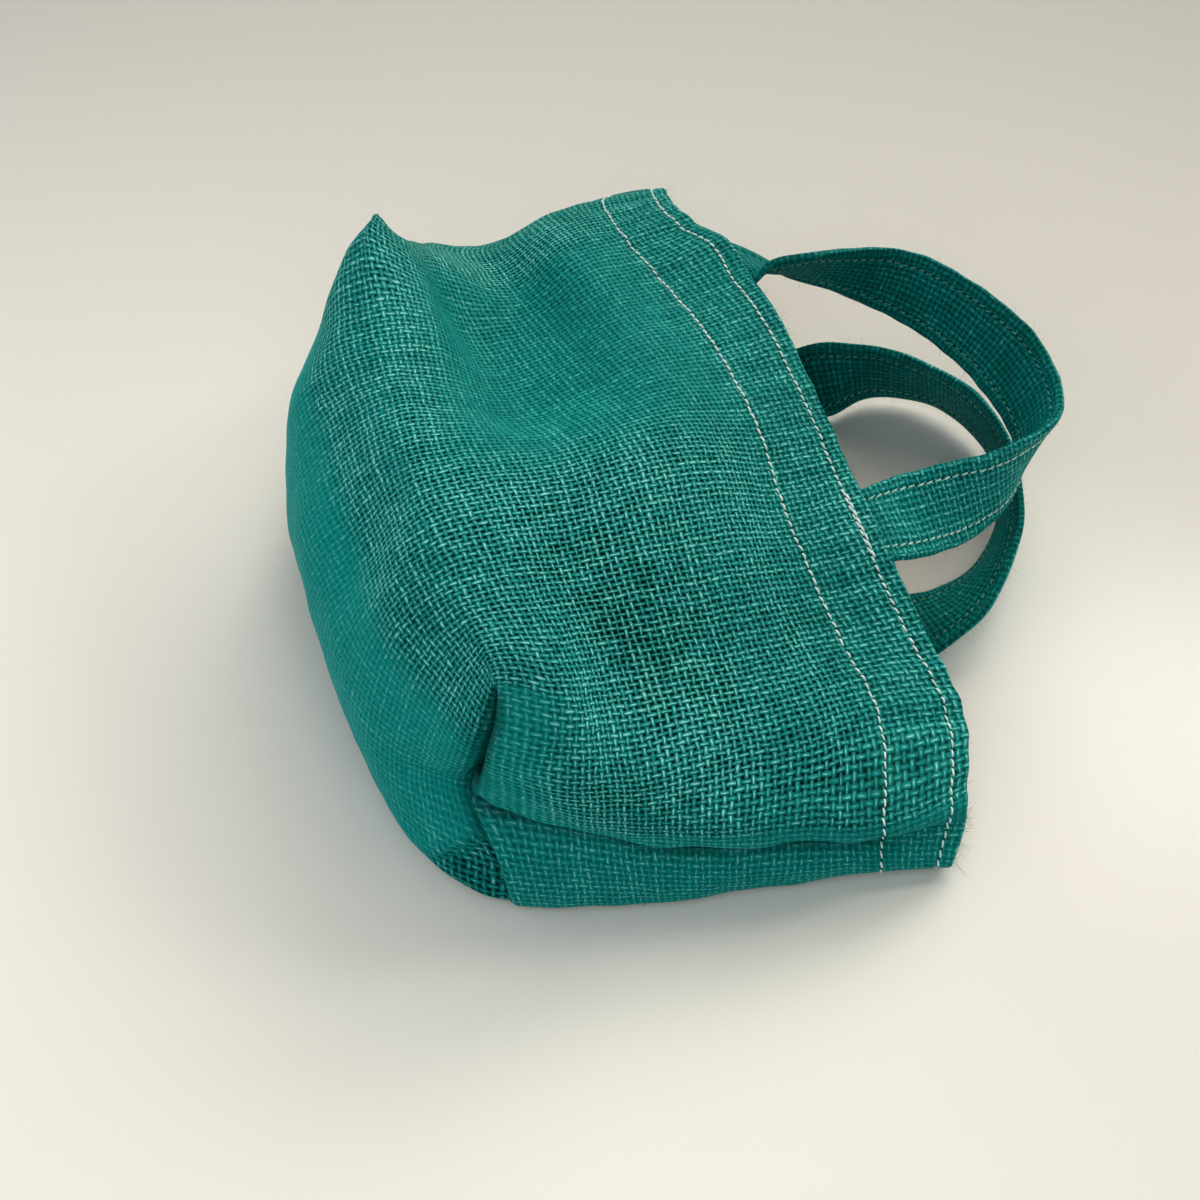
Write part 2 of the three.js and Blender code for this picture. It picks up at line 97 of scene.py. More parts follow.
# handles: centre of the strap and its lean in degrees, section by section along the free run
STRAP_RUNS = {
    "handle_front": [(114, 105.2, 42, 26), (126, 111.2, 40.3, 50), (144, 121.5, 40.5, 84), (155.3, 139.3, 41, 113), (151.4, 162, 43.5, 121), (136.2, 181.5, 47.4, 112), (115.8, 194, 51.7, 95), (98, 195.5, 55.3, 70), (88, 194, 57.6, 57), (79, 192, 59, 46)],
    "handle_back": [(132, 99.5, 10, -30), (143.5, 114, 13, -61), (149.6, 133, 14.8, -82), (150.6, 153, 15.2, -97), (144, 171.5, 15.2, -104), (130.5, 185.5, 15.2, -108), (113.6, 191, 15.2, -96), (95.5, 189.5, 12.5, -62)],
}
STRAP_ENDS = {"handle_front": (90.5, 194, -1), "handle_back": (472.5, 367.5, 1)}

U_AT = np.array([row[0] for row in WALL.values()], float)
WALL_T = np.array([[row[1], row[2], row[3]] for row in WALL.values()], float).transpose(2, 0, 1)   # level, section, xyz
DOWN = np.array(list(BASE), float)
BASE_T = np.array([[row[0], row[1], row[2]] for row in BASE.values()], float).transpose(0, 2, 1)   # row, column, xyz


def curve(knots, points, t, m0=None, m1=None, period=None):
    """Smooth curve through points at uneven knots."""
    knots, points, t = np.asarray(knots, float), np.asarray(points, float), np.asarray(t, float)
    if period is not None:
        knots = np.concatenate([knots[-2:] - period, knots, knots[:3] + period])
        points = np.concatenate([points[-2:], points, points[:3]])
        t = np.mod(t, period)
    col = (slice(None),) + (None,) * (points.ndim - 1)
    h = np.diff(knots)
    d = np.diff(points, axis=0) / h[col]
    m = np.zeros_like(points)
    w = (h[1:] / (h[1:] + h[:-1]))[col]
    m[1:-1] = d[:-1] * w + d[1:] * (1 - w)
    m[0] = 1.5 * d[0] - 0.5 * m[1] if m0 is None else m0
    m[-1] = 1.5 * d[-1] - 0.5 * m[-2] if m1 is None else m1
    k = np.clip(np.searchsorted(knots, t, side="right") - 1, 0, len(knots) - 2)
    hh = h[k]
    s = ((t - knots[k]) / hh)[col]
    hh = hh[col]
    return ((1 + 2 * s) * (1 - s) ** 2) * points[k] + (s * (1 - s) ** 2) * hh * m[k] + (s * s * (3 - 2 * s)) * points[k + 1] + (s * s * (s - 1)) * hh * m[k + 1]


def smooth(x):
    x = np.clip(x, 0, 1)
    return x * x * (3 - 2 * x)


def section(u):
    return np.stack([curve(U_AT, WALL_T[i], u, period=LOOP) for i in range(len(LEVELS))])


def gusset_seam(s, far):
    s = np.asarray(s, float)
    return FAR + s if far else np.mod(NEAR - s, LOOP)


def base_rows(u):
    out = []
    for i, s in enumerate(DOWN):
        n = section(np.array([gusset_seam(s, False)]))[0, 0]
        f = section(np.array([gusset_seam(s, True)]))[0, 0]
        out.append(curve(np.concatenate([[NEAR], BASE_COLUMNS, [FAR]]), np.concatenate([[n], BASE_T[i], [f]]), u))
    return np.stack(out)


def fold_tangents(u):
    """Tangents at the front and back folds of the base for columns u."""
    rows, front, back = base_rows(u), section(u), section(LOOP - u)
    first, last, up = DOWN[0], GUSSET - DOWN[-1], LEVELS[1]
    join = lambda panel, wall, reach: panel * (up / (up + reach)) + wall * (reach / (up + reach))
    f = join((front[0] - rows[0]) / first, (front[1] - front[0]) / up, first)
    b = join((back[0] - rows[-1]) / last, (back[1] - back[0]) / up, last)
    return f, b, rows, front[0], back[0]


def wall(u, v):
    """Middle of the cloth, (len(u), len(v), 3), in the tables' frame."""
    u = np.mod(np.asarray(u, float), LOOP)
    v = np.asarray(v, float)
    rows = section(u)
    w0, w1 = LEVELS[1] - LEVELS[0], LEVELS[2] - LEVELS[1]
    d0, d1 = (rows[1] - rows[0]) / w0, (rows[2] - rows[1]) / w1
    free = 1.5 * d0 - 0.5 * (d0 * (w1 / (w0 + w1)) + d1 * (w0 / (w0 + w1)))
    front = u < MOUTH_WIDTH
    f_col, b_col = np.clip(u, NEAR, FAR), np.clip(LOOP - u, NEAR, FAR)
    wf = np.where(front, 1 - smooth(np.abs(u - f_col) / 14), 0.0)
    wb = np.where(~front, 1 - smooth(np.abs(LOOP - u - b_col) / 14), 0.0)
    ff = fold_tangents(f_col)[0]
    bb = fold_tangents(b_col)[1]
    start = free * (1 - wf - wb)[:, None] + ff * wf[:, None] + bb * wb[:, None]
    return np.transpose(curve(LEVELS, rows, v, m0=start), (1, 0, 2))


def base(u, s):
    """Middle of the base panel, (len(u), len(s), 3)."""
    knots = np.concatenate([[0.0], DOWN, [GUSSET]])

    def plain(col):
        f, b, rows, f0, b0 = fold_tangents(col)
        return curve(knots, np.concatenate([f0[None], rows, b0[None]]), s, m0=-f, m1=b)

    raw = plain(u)
    fix_n = section(gusset_seam(s, False))[0] - plain(np.array([NEAR]))[:, 0]
    fix_f = section(gusset_seam(s, True))[0] - plain(np.array([FAR]))[:, 0]
    wn, wf = 1 - smooth((u - NEAR) / 30), 1 - smooth((FAR - u) / 26)
    raw = raw + fix_n[:, None] * wn[None, :, None] + fix_f[:, None] * wf[None, :, None]
    return np.transpose(raw, (1, 0, 2))


def normals_of(P, T):
    n = np.zeros_like(P)
    fn = np.cross(P[T[:, 1]] - P[T[:, 0]], P[T[:, 2]] - P[T[:, 0]])
    for k in range(3):
        np.add.at(n, T[:, k], fn)
    return n / np.maximum(np.linalg.norm(n, axis=1), 1e-12)[:, None]


def unit(a):
    return a / np.maximum(np.linalg.norm(a, axis=-1, keepdims=True), 1e-12)


def bump(x, width):
    return np.exp(-(x / width) ** 2)


def new_mesh(name, points, faces, mats, uv=None, slots=None, fields=None):
    """points in mm in the tables' frame; uv in mm for every corner; fields are numbers for every point."""
    me = bpy.data.meshes.new(name)
    P = (np.asarray(points, float) - CENTRE) * MM
    F = np.asarray(faces, np.int32)
    k = F.shape[1]
    me.vertices.add(len(P)); me.vertices.foreach_set("co", P.astype(np.float32).ravel())
    me.loops.add(F.size); me.loops.foreach_set("vertex_index", F.ravel())
    me.polygons.add(len(F))
    me.polygons.foreach_set("loop_start", np.arange(0, F.size, k, dtype=np.int32))
    me.polygons.foreach_set("loop_total", np.full(len(F), k, np.int32))
    if slots is not None:
        me.polygons.foreach_set("material_index", np.asarray(slots, np.int32))
    me.polygons.foreach_set("use_smooth", np.full(len(F), True))
    if uv is not None:
        me.uv_layers.new(name="cloth_mm").data.foreach_set("uv", np.asarray(uv, np.float32).ravel())
    for key, values in (fields or {}).items():
        me.attributes.new(key, "FLOAT", "POINT").data.foreach_set("value", np.asarray(values, np.float32))
    me.update(calc_edges=True)
    ob = bpy.data.objects.new(name, me)
    bpy.context.scene.collection.objects.link(ob)
    for m in mats:
        me.materials.append(m)
    return ob


# ---------------------------------------------------------------- camera (settled first)
cam = bpy.data.cameras.new("camera")
cam.sensor_width = 36.0
cam.lens = 36.0 * 2040.0 / 1200.0
cam.clip_start, cam.clip_end = 0.01, 20
camera = bpy.data.objects.new("camera", cam)
bpy.context.scene.collection.objects.link(camera)
camera.location = Vector((np.array((24.8, -282.2, 482.2)) - CENTRE) * MM)
camera.rotation_euler = (math.radians(90 - 51), 0, 0)
bpy.context.scene.camera = camera


# ---------------------------------------------------------------- shader helpers
class Sock:
    """A node socket that does arithmetic by adding Math nodes."""
    def __init__(self, tree, out):
        self.t, self.o = tree, out

    def math(self, op, *args, clamp=False):
        n = self.t.nodes.new("ShaderNodeMath")
        n.operation, n.use_clamp = op, clamp
        for i, a in enumerate((self, *args)):
            if isinstance(a, Sock):
                self.t.links.new(a.o, n.inputs[i])
            else:
                n.inputs[i].default_value = a
        return Sock(self.t, n.outputs[0])

    def __add__(self, b): return self.math("ADD", b)
    __radd__ = __add__
    def __mul__(self, b): return self.math("MULTIPLY", b)
    __rmul__ = __mul__
    def __sub__(self, b): return self.math("SUBTRACT", b)
    def __rsub__(self, b): return (self * -1.0) + b
    def __truediv__(self, b): return self.math("DIVIDE", b)
    def floor(self): return self.math("FLOOR")
    def fract(self): return self.math("FRACT")
    def abs(self): return self.math("ABSOLUTE")
    def cos(self): return self.math("COSINE")
    def sqrt(self): return self.math("SQRT")
    def exp(self): return self.math("EXPONENT")
    def power(self, b): return self.math("POWER", b)
    def max(self, b): return self.math("MAXIMUM", b)
    def min(self, b): return self.math("MINIMUM", b)
    def less(self, b): return self.math("LESS_THAN", b)
    def greater(self, b): return self.math("GREATER_THAN", b)
    def clamp(self): return self.math("ADD", 0.0, clamp=True)

    def ramp(self, lo, hi):
        n = self.t.nodes.new("ShaderNodeMapRange")
        n.interpolation_type = "SMOOTHSTEP"
        self.t.links.new(self.o, n.inputs["Value"])
        n.inputs["From Min"].default_value, n.inputs["From Max"].default_value = lo, hi
        return Sock(self.t, n.outputs["Result"])


def vec(t, x, y, z=0.0):
    n = t.nodes.new("ShaderNodeCombineXYZ")
    for i, a in enumerate((x, y, z)):
        if isinstance(a, Sock):
            t.links.new(a.o, n.inputs[i])
        else:
            n.inputs[i].default_value = a
    return Sock(t, n.outputs[0])


def noise(t, v, scale=1.0, detail=0.0, rough=0.5):
    n = t.nodes.new("ShaderNodeTexNoise")
    t.links.new(v.o, n.inputs["Vector"])
    n.inputs["Scale"].default_value, n.inputs["Detail"].default_value, n.inputs["Roughness"].default_value = scale, detail, rough
    return Sock(t, n.outputs["Fac"])


def white(t, v):
    n = t.nodes.new("ShaderNodeTexWhiteNoise")
    t.links.new(v.o, n.inputs["Vector"])
    return Sock(t, n.outputs["Value"])


def blend(t, share, a, b):
    n = t.nodes.new("ShaderNodeMix")
    n.data_type = "RGBA"
    t.links.new(share.o, n.inputs[0])
    for i, c in ((6, a), (7, b)):
        if isinstance(c, Sock):
            t.links.new(c.o, n.inputs[i])
        else:
            n.inputs[i].default_value = (*c, 1.0)
    return Sock(t, n.outputs[2])


def field(t, name):
    n = t.nodes.new("ShaderNodeAttribute")
    n.attribute_name = name
    return Sock(t, n.outputs["Fac"])


def lin(r, g, b):
    f = lambda c: c / 12.92 if c <= 0.04045 else ((c + 0.055) / 1.055) ** 2.4
    return (f(r / 255), f(g / 255), f(b / 255))


# the deep colour is darker dye and painted shade on the threads' sides; the light colour is a painted highlight along
# the crowns; the gap colour is painted shade, the dark inside seen through the gaps
DEEP_DYE_AND_SHADE, MID, HIGHLIGHT_PAINT, GAP_SHADE = lin(0, 70, 68), lin(0, 134, 132), lin(146, 226, 220), lin(0, 15, 14)
NAPPED = lin(0, 137, 135)


def weave(name, pitch_x, pitch_y, seed, skew=0.0, tone_shift=0.0):
    """Plain weave of uneven jute threads, laid out in the cloth's own millimetres."""
    m = bpy.data.materials.new(name)
    m.use_nodes = True
    t = m.node_tree
    t.nodes.clear()
    out, bsdf = t.nodes.new("ShaderNodeOutputMaterial"), t.nodes.new("ShaderNodeBsdfPrincipled")
    t.links.new(bsdf.outputs[0], out.inputs[0])
    uvn = t.nodes.new("ShaderNodeUVMap"); uvn.uv_map = "cloth_mm"
    sep = t.nodes.new("ShaderNodeSeparateXYZ")
    t.links.new(uvn.outputs[0], sep.inputs[0])
    U, V = Sock(t, sep.outputs[0]), Sock(t, sep.outputs[1])
    open_ = field(t, "open")                     # 0 close, 1 open
    behind = field(t, "behind")                  # 1 where another layer shows through the gaps, so their painted shade is lighter
    nap = field(t, "nap")                        # 1 where the surface is rubbed up and the threads blur
    painted_shade = field(t, "painted_shade")                      # 1 where shade is painted into the colour
    # slow wander of the cloth's grain
    x = U / pitch_x + (noise(t, vec(t, U * 0.018, V * 0.018, seed)) - 0.5) * 1.5 + (noise(t, vec(t, U * 0.11, V * 0.11, seed + 2)) - 0.5) * 0.45
    y = (V + U * skew) / pitch_y + (noise(t, vec(t, U * 0.018, V * 0.018, seed + 4)) - 0.5) * 1.5 + (noise(t, vec(t, U * 0.11, V * 0.11, seed + 6)) - 0.5) * 0.45
    i, j = x.floor(), y.floor()
    # each thread wobbles and is thick and thin along its own length
    wx = noise(t, vec(t, i * 1.7, y * 0.30, seed + 3.1), detail=1.0)
    wy = noise(t, vec(t, x * 0.30, j * 1.7, seed + 5.7), detail=1.0)
    cx = (noise(t, vec(t, i * 2.3, y * 0.55, seed + 8.1)) - 0.5) * 0.34
    cy = (noise(t, vec(t, x * 0.55, j * 2.3, seed + 9.7)) - 0.5) * 0.34
    fx, fy = x - i - 0.5, y - j - 0.5
    gx, gy = fx - cx, fy - cy
    a = 0.385 + (wx - 0.5) * 0.42 - open_ * 0.14
    b = 0.365 + (wy - 0.5) * 0.42 - open_ * 0.14
    px, py = (gx.abs() / a).min(1.0), (gy.abs() / b).min(1.0)
    tx, ty = (1.0 - px * px), (1.0 - py * py)     # across profile, 1 on the crown
    s = ((i + j) * 0.5).fract().greater(0.25) * 2.0 - 1.0
    lx, ly = (fy * math.pi).cos(), (fx * math.pi).cos()
    on_x, on_y = gx.abs().less(a), gy.abs().less(b)
    HX = (s * lx * 0.22 + tx.sqrt() * 0.30) * on_x + (on_x - 1.0) * 0.7
    HY = (s * ly * -0.22 + ty.sqrt() * 0.30) * on_y + (on_y - 1.0) * 0.7
    H = HX.max(HY)
    top = HX.greater(HY)
    under = 1.0 - top
    cover = on_x.max(on_y)
    crown = tx * top + ty * under
    up = (s * lx) * top - (s * ly) * under        # 1 where the thread passes over, -1 under
    fx_ = noise(t, vec(t, gx * 7.0 + i * 5.0 + gy * 1.6, y * 1.3, seed + 31.0), detail=2.0, rough=0.65)
    fy_ = noise(t, vec(t, x * 1.3, gy * 7.0 + j * 5.0 + gx * 1.6, seed + 37.0), detail=2.0, rough=0.65)
    fibre = fx_ * top + fy_ * under
    tone = (white(t, vec(t, i, 3.0, seed)) * 0.5 + wx) * top + (white(t, vec(t, 7.0, j, seed)) * 0.5 + wy) * under   # about 0.75
    blot = noise(t, vec(t, U * 0.035, V * 0.035, seed + 50.0), detail=2.0)
    # painted shading of each thread: its crown and the stretches where it passes over are painted lighter and its sides
    # darker, mixed with its own uneven dye; the second blend paints a highlight streak along the crowns, broken by the
    # fibre noise
    shading_and_tone = crown * 0.50 + up * 0.22 + (fibre - 0.5) * 0.7 + (tone - 0.75) * 0.35 + (blot - 0.5) * 0.5 + (0.14 + tone_shift) - painted_shade * 0.34
    highlight_amount = crown.power(8.0) * 0.60 + up * 0.22 + (fibre - 0.5) * 1.5 + (tone - 0.75) * 0.5 + (blot - 0.5) * 0.3 + (tone_shift + 0.02) - painted_shade * 0.40 - nap * 0.15
    c = blend(t, shading_and_tone.ramp(0.0, 0.75), DEEP_DYE_AND_SHADE, MID)
    c = blend(t, highlight_amount.ramp(0.42, 1.05), c, HIGHLIGHT_PAINT)
    # a few pale undyed flecks
    fleck = noise(t, vec(t, U * 1.5, V * 1.5, seed + 70.0), detail=2.0, rough=0.7).ramp(0.70, 0.76) * noise(t, vec(t, U * 0.05, V * 0.05, seed + 71.0)).ramp(0.50, 0.68)
    c = blend(t, fleck * 0.55, c, lin(176, 214, 198))
    # painted shade in the gaps, for the dark inside seen through them; the thread edges and the dips where a thread
    # goes under are painted darker towards it
    gap_shade = blend(t, behind, GAP_SHADE, lin(0, 62, 58))
    thread_edge_shading = crown.ramp(0.0, 0.62) * 0.75 + 0.25
    c = blend(t, cover * (thread_edge_shading * (H.ramp(-0.30, 0.22) * 0.65 + 0.35)), gap_shade, c)
    c = blend(t, nap * 0.72, c, NAPPED)
    # painted shade in the slit of the boxed seam and in the side seam
    c = blend(t, field(t, "crease_shade"), c, lin(0, 22, 21))
    t.links.new(c.o, bsdf.inputs["Base Color"])
    t.links.new((cover * 0.07).o, bsdf.inputs["Specular IOR Level"])
    bsdf.inputs["Roughness"].default_value = 0.62
    bsdf.inputs["Sheen Weight"].default_value = 0.42
    bsdf.inputs["Sheen Roughness"].default_value = 0.5
    bsdf.inputs["Sheen Tint"].default_value = (*lin(0, 178, 172), 1.0)
    bn = t.nodes.new("ShaderNodeBump")
    bn.inputs["Strength"].default_value = 1.0
    bn.inputs["Distance"].default_value = 0.001
    t.links.new(((H.max(-0.35) + (fibre - 0.5) * 0.10) * (1.0 - nap * 0.8)).o, bn.inputs["Height"])
    t.links.new(bn.outputs[0], bsdf.inputs["Normal"])
    return m


def simple(name, colour, dark=None, rough=0.6, sheen=0.0, scale=1500.0):
    m = bpy.data.materials.new(name)
    m.use_nodes = True
    t = m.node_tree
    b = t.nodes["Principled BSDF"]
    if dark is None:
        b.inputs["Base Color"].default_value = (*colour, 1.0)
    else:
        co = t.nodes.new("ShaderNodeTexCoord")
        t.links.new(blend(t, noise(t, Sock(t, co.outputs["Object"]), scale, 2.0).ramp(0.3, 0.7), dark, colour).o, b.inputs["Base Color"])
    b.inputs["Roughness"].default_value = rough
    b.inputs["Specular IOR Level"].default_value = 0.25
    b.inputs["Sheen Weight"].default_value = sheen
    return m


cloth_mat = weave("jute_body", WARP, WEFT, 1.0, skew=0.05)
strap_mat = weave("jute_strap", 1.97, WARP, 4.0)
stitch_mat = simple("stitch_thread", lin(238, 252, 255), lin(206, 232, 232), 0.5)
strap_stitch_mat = simple("strap_stitch_thread", lin(216, 242, 240), lin(140, 200, 192), 0.6)
# the stitches on the strap's inner face are painted darker: painted shade
shaded_stitch_mat = simple("shaded_stitch_thread", lin(120, 178, 168), lin(40, 118, 108), 0.7)
# needle holes are dark discs: painted shade in the holes
hole_shade_mat = simple("needle_hole_shade", lin(0, 26, 24), rough=0.9)
fibre_mat = simple("loose_fibre", lin(52, 150, 134), lin(10, 96, 86), 0.7, scale=300.0)

# ---------------------------------------------------------------- the bag's cloth: grid
def spaced(fine, coarse, end):
    """Positions from 0: the fine ones, then even steps of about coarse up to end."""
    fine = list(fine)
    n = max(1, round((end - fine[-1]) / coarse))
    return np.array(fine + [fine[-1] + (end - fine[-1]) * k / n for k in range(1, n + 1)])


near_edge = [0, .35, .7, 1.1, 1.6, 2.2, 2.9, 3.7, 4.6, 5.7, 7.0, 8.5]
panel = MOUTH_WIDTH - GUSSET
pcols = NEAR + spaced(near_edge, 2.0, panel)                       # columns of a panel
svals = np.concatenate([spaced([0, 1.0], 1.9, 46.0), np.arange(46.8, 66, 0.8), np.arange(66.2, 95, 1.0), spaced([95.2], 1.9, GUSSET)])   # down the base
levels = np.concatenate([spaced(near_edge, 2.0, 104.0), [104.8, 105.4, 106.0, 106.5, 107, 107.5, 108.1, 109, 110.5, 112.5, 114.5, 116.5, 118.5, 120.5, 122.3, 123.6, 124.4, 125, 125.6, 126.5, 127.8, 129.0]])
npan, ngus, nl = len(pcols) - 1, len(svals) - 1, len(levels)
cols = np.concatenate([pcols[:-1], FAR + svals[:-1], LOOP - pcols[::-1][:-1], np.mod(NEAR - svals[::-1][:-1], LOOP)])
next_col = np.append(cols[1:], NEAR)
cu = len(cols)
Wmid = wall(cols, levels)
Bmid = base(pcols, svals)
wid = lambda i, j: (i % cu) * nl + j
bid = np.zeros((npan + 1, ngus + 1), int)
extra, extra_col, extra_s = [], [], []
for i in range(npan + 1):
    for j in range(ngus + 1):
        if j == 0: bid[i, j] = wid(i, 0)
        elif j == ngus: bid[i, j] = wid(2 * npan + ngus - i, 0)
        elif i == 0: bid[i, j] = wid(-j, 0)
        elif i == npan: bid[i, j] = wid(npan + j, 0)
        else:
            bid[i, j] = cu * nl + len(extra)
            extra.append(Bmid[i, j]); extra_col.append(pcols[i]); extra_s.append(svals[j])
mid = np.concatenate([Wmid.reshape(-1, 3), np.array(extra)])
nw, n = cu * nl, len(mid)
on_wall = np.arange(n) < nw
u_at = np.concatenate([np.repeat(cols, nl), extra_col])
v_at = np.concatenate([np.tile(levels, cu), np.zeros(len(extra))])
s_at = np.concatenate([np.zeros(nw), extra_s])
quads, uvs = [], []
for i in range(cu):
    u0, u1 = cols[i], next_col[i]
    if u1 < u0 - 100: u1 += LOOP
    for j in range(nl - 1):
        quads.append((wid(i, j), wid(i + 1, j), wid(i + 1, j + 1), wid(i, j + 1)))
        uvs.append(((u0, levels[j]), (u1, levels[j]), (u1, levels[j + 1]), (u0, levels[j + 1])))
for i in range(npan):
    for j in range(ngus):
        quads.append((bid[i, j], bid[i, j + 1], bid[i + 1, j + 1], bid[i + 1, j]))
        uvs.append(((pcols[i], -svals[j]), (pcols[i], -svals[j + 1]), (pcols[i + 1], -svals[j + 1]), (pcols[i + 1], -svals[j])))
quads, uvs = np.array(quads), np.array(uvs, float)
tri = np.concatenate([quads[:, [0, 1, 2]], quads[:, [0, 2, 3]]])
N = normals_of(mid, tri)
if N[nw // 4, 2] < 0:                      # the front panel faces up
    N = -N
    quads, uvs, tri = quads[:, ::-1], uvs[:, ::-1], tri[:, ::-1]

# ---------------------------------------------------------------- creases, seams and small waves
u_round = np.where(u_at > LOOP / 2, u_at - LOOP, u_at)             # near gusset: -57..57
push = np.zeros_like(mid)
# boxed seam of the near corner: pulled in by the seam allowance behind it
seam_s = svals
seam_ids = np.array([bid[0, j] for j in range(ngus + 1)])
seam_n = N[seam_ids].copy()
for _ in range(6):
    seam_n[1:-1] = (seam_n[:-2] + 2 * seam_n[1:-1] + seam_n[2:]) / 4
seam_n = unit(seam_n)
slit = np.interp(seam_s, [0, 3, 8, 16, 30, 42, 48, 53, 57, 60, 64, 70, 78, 84, 90, 114], [1.5, 6.0, 8.5, 9.5, 9.0, 8.0, 5.5, 2.6, 0.8, 1.2, 2.0, 2.2, 1.6, 0.7, 0.2, 0])
roll = np.interp(seam_s, [0, 10, 25, 45, 57, 64, 72, 80, 86, 92, 98, 114], [0.3, 2.2, 4.0, 3.8, 2.0, 2.2, 2.8, 2.2, 1.0, 0.3, 0, 0])
near_g = on_wall & (np.abs(u_round) <= HALF + 0.01)
near_b = ~on_wall & (u_at < 110)
corner = wall([0.0], [0.0])[0, 0]
for sel, sg, d in ((near_g, HALF - u_round, v_at), (near_b, s_at, -(u_at - NEAR))):
    sgs, ds = sg[sel], d[sel]
    D, R = np.interp(sgs, seam_s, slit), np.interp(sgs, seam_s, roll)
    nn = np.stack([np.interp(sgs, seam_s, seam_n[:, k]) for k in range(3)], 1)
    prof = np.where(ds >= 0, D * bump(ds, 1.15) + 0.3 * R * bump(ds, 0.75) - 0.3 * bump(ds - 3.4, 1.8) * smooth(sgs / 10) * smooth((58 - sgs) / 12), D * bump(ds, 1.9) + R * np.exp(-(np.abs(ds) / 5.5) ** 1.6) * (1 - 0.7 * bump(ds, 0.7)))
    push[sel] -= nn * (prof + 0.25 * bump(np.linalg.norm(mid[sel] - corner, axis=1), 6.0))[:, None]
# hollow low on the base beside the boxed corner, under a soft crease
sel = near_b
below = s_at[sel] - (67 + (u_at[sel] - 60) * 0.95)
hollow = 4.2 * smooth(below / 2.0 + 0.5) * (1 - smooth((s_at[sel] - 75) / 10)) * (1 - smooth((u_at[sel] - 62) / 17))
hollow -= 0.9 * bump(below + 2.6, 2.4) * (1 - smooth((u_at[sel] - 66) / 20)) * smooth((u_at[sel] - 57) / 3)
push[sel] -= N[sel] * hollow[:, None]
# boxed seam of the far corner
far_s = on_wall & (u_at >= FAR - 0.01) & (u_at <= FAR + GUSSET)
far_b = ~on_wall & (u_at > 190)
for sel, sg, d in ((far_s, u_at - FAR, v_at), (far_b, s_at, FAR - u_at)):
    D = 1.4 * smooth(sg[sel] / 12) * smooth((GUSSET - sg[sel]) / 20)
    push[sel] -= N[sel] * (D * bump(d[sel], 1.8))[:, None]
# the near boxed seam bows out a little, and its two ends sit nearer the base
for place, reach, shift in ((wall([37.0], [0.0])[0, 0], 15.0, (-2.9, 0, 0)), (wall([57.0], [0.0])[0, 0], 11.0, (-0.9, 1.7, 1.4)), (wall([0.0], [0.0])[0, 0], 10.0, (-1.5, 0, 0))):
    push += bump(np.linalg.norm(mid - np.array(place), axis=1), reach)[:, None] * np.array(shift)
# the far corner's point is soft and full; the hem stands proud over the far end of the front handle
for place, reach, shift in (((-43.7, 186.5, 83.5), 7.5, (3.0, 0.9, 0.8)), ((-45.5, 181.0, 79.0), 7.0, (-2.4, 0, 0)), ((-50.0, 170.0, 73.0), 13.0, (-3.0, 0, 0)), ((-59.0, 150.0, 64.0), 12.0, (1.9, 0, 0))):
    push += bump(np.linalg.norm(mid - np.array(place), axis=1), reach)[:, None] * np.array(shift)
corner_out = bump(u_at - 197, 9.5) * smooth((v_at - 108) / 20) * on_wall
push += corner_out[:, None] * np.array([1.7, 2.1, 1.7])
# side seams
for centre in (0.0, 280.0):
    du = (u_at - centre + 280) % LOOP - 280
    sel = on_wall & (np.abs(du) < 8)
    push[sel] -= N[sel] * (1.5 * bump(du[sel], 1.0) * (1 - 0.6 * smooth((v_at[sel] - 104) / 6)))[:, None]
# the front panel's soft lip over the near side
sel = on_wall & (np.abs(u_round) < 24)
vs, us = v_at[sel], u_round[sel]
near_lip = 0.85 * smooth((vs - 0.5) / 5.5) * (1 - 0.55 * smooth((vs - 12) / 12)) * (1 - 0.75 * smooth((vs - 28) / 10))
push[sel] += (near_lip * bump(us - 7.5, 5.5))[:, None] * np.array([0, -1.8, -1.9])
push[sel] += (near_lip * bump(us + 1.8, 2.0))[:, None] * np.array([0, 0.9, -0.3])
lipA = smooth((vs - 30) / 16) * (1 - 0.60 * smooth((vs - 96) / 12)) * (0.80 + 0.45 * bump(vs - 44, 9) + 0.40 * bump(vs - 72, 10))
push[sel] += (lipA * bump(us - 7.0, 3.6))[:, None] * np.array([0, -1.7, -2.2])
push[sel] += (lipA * bump(us + 3.0, 3.2))[:, None] * np.array([0, 2.2, -0.6])
# small waves everywhere, more along the hem
wave = np.zeros(n)
for k in range(14):
    q = rng.normal(size=3); q *= 2 * math.pi / rng.uniform(22, 60) / np.linalg.norm(q)
    wave += 0.16 * np.sin(mid @ q + rng.uniform(0, 6.3))
for k in range(10):
    q = rng.normal(size=3); q *= 2 * math.pi / rng.uniform(9, 16) / np.linalg.norm(q)
    wave += 0.045 * np.sin(mid @ q + rng.uniform(0, 6.3))
pucker = np.zeros(n)
for k in range(16):
    pucker += 0.09 * np.sin(2 * math.pi * int(rng.integers(22, 75)) * u_at / LOOP + rng.uniform(0, 6.3))
hem_zone = smooth((v_at - 98) / 8) * on_wall
rest = mid[:, 2] > 2.2                     # cloth that lies on the floor stays flat
push += N * ((wave + pucker * hem_zone) * rest)[:, None]
mid2 = mid + push
N2 = normals_of(mid2, tri)
rows_dent = (0.42 * bump(v_at - 107, 0.9) + 0.38 * bump(v_at - 125, 0.9)) * on_wall
h_out = CLOTH / 2 + 0.30 * smooth((v_at - 105.2) / 1.4) - rows_dent
h_in = CLOTH / 2 + (HEM_THICK - CLOTH - 0.30) * smooth((v_at - 104.8) / 1.0) - 0.5 * rows_dent
outer = mid2 + N2 * h_out[:, None]
inner = mid2 - N2 * h_in[:, None]
outer[:, 2] = np.maximum(outer[:, 2], 0.03)
inner[:, 2] = np.maximum(inner[:, 2], outer[:, 2] * 0 + 0.35)

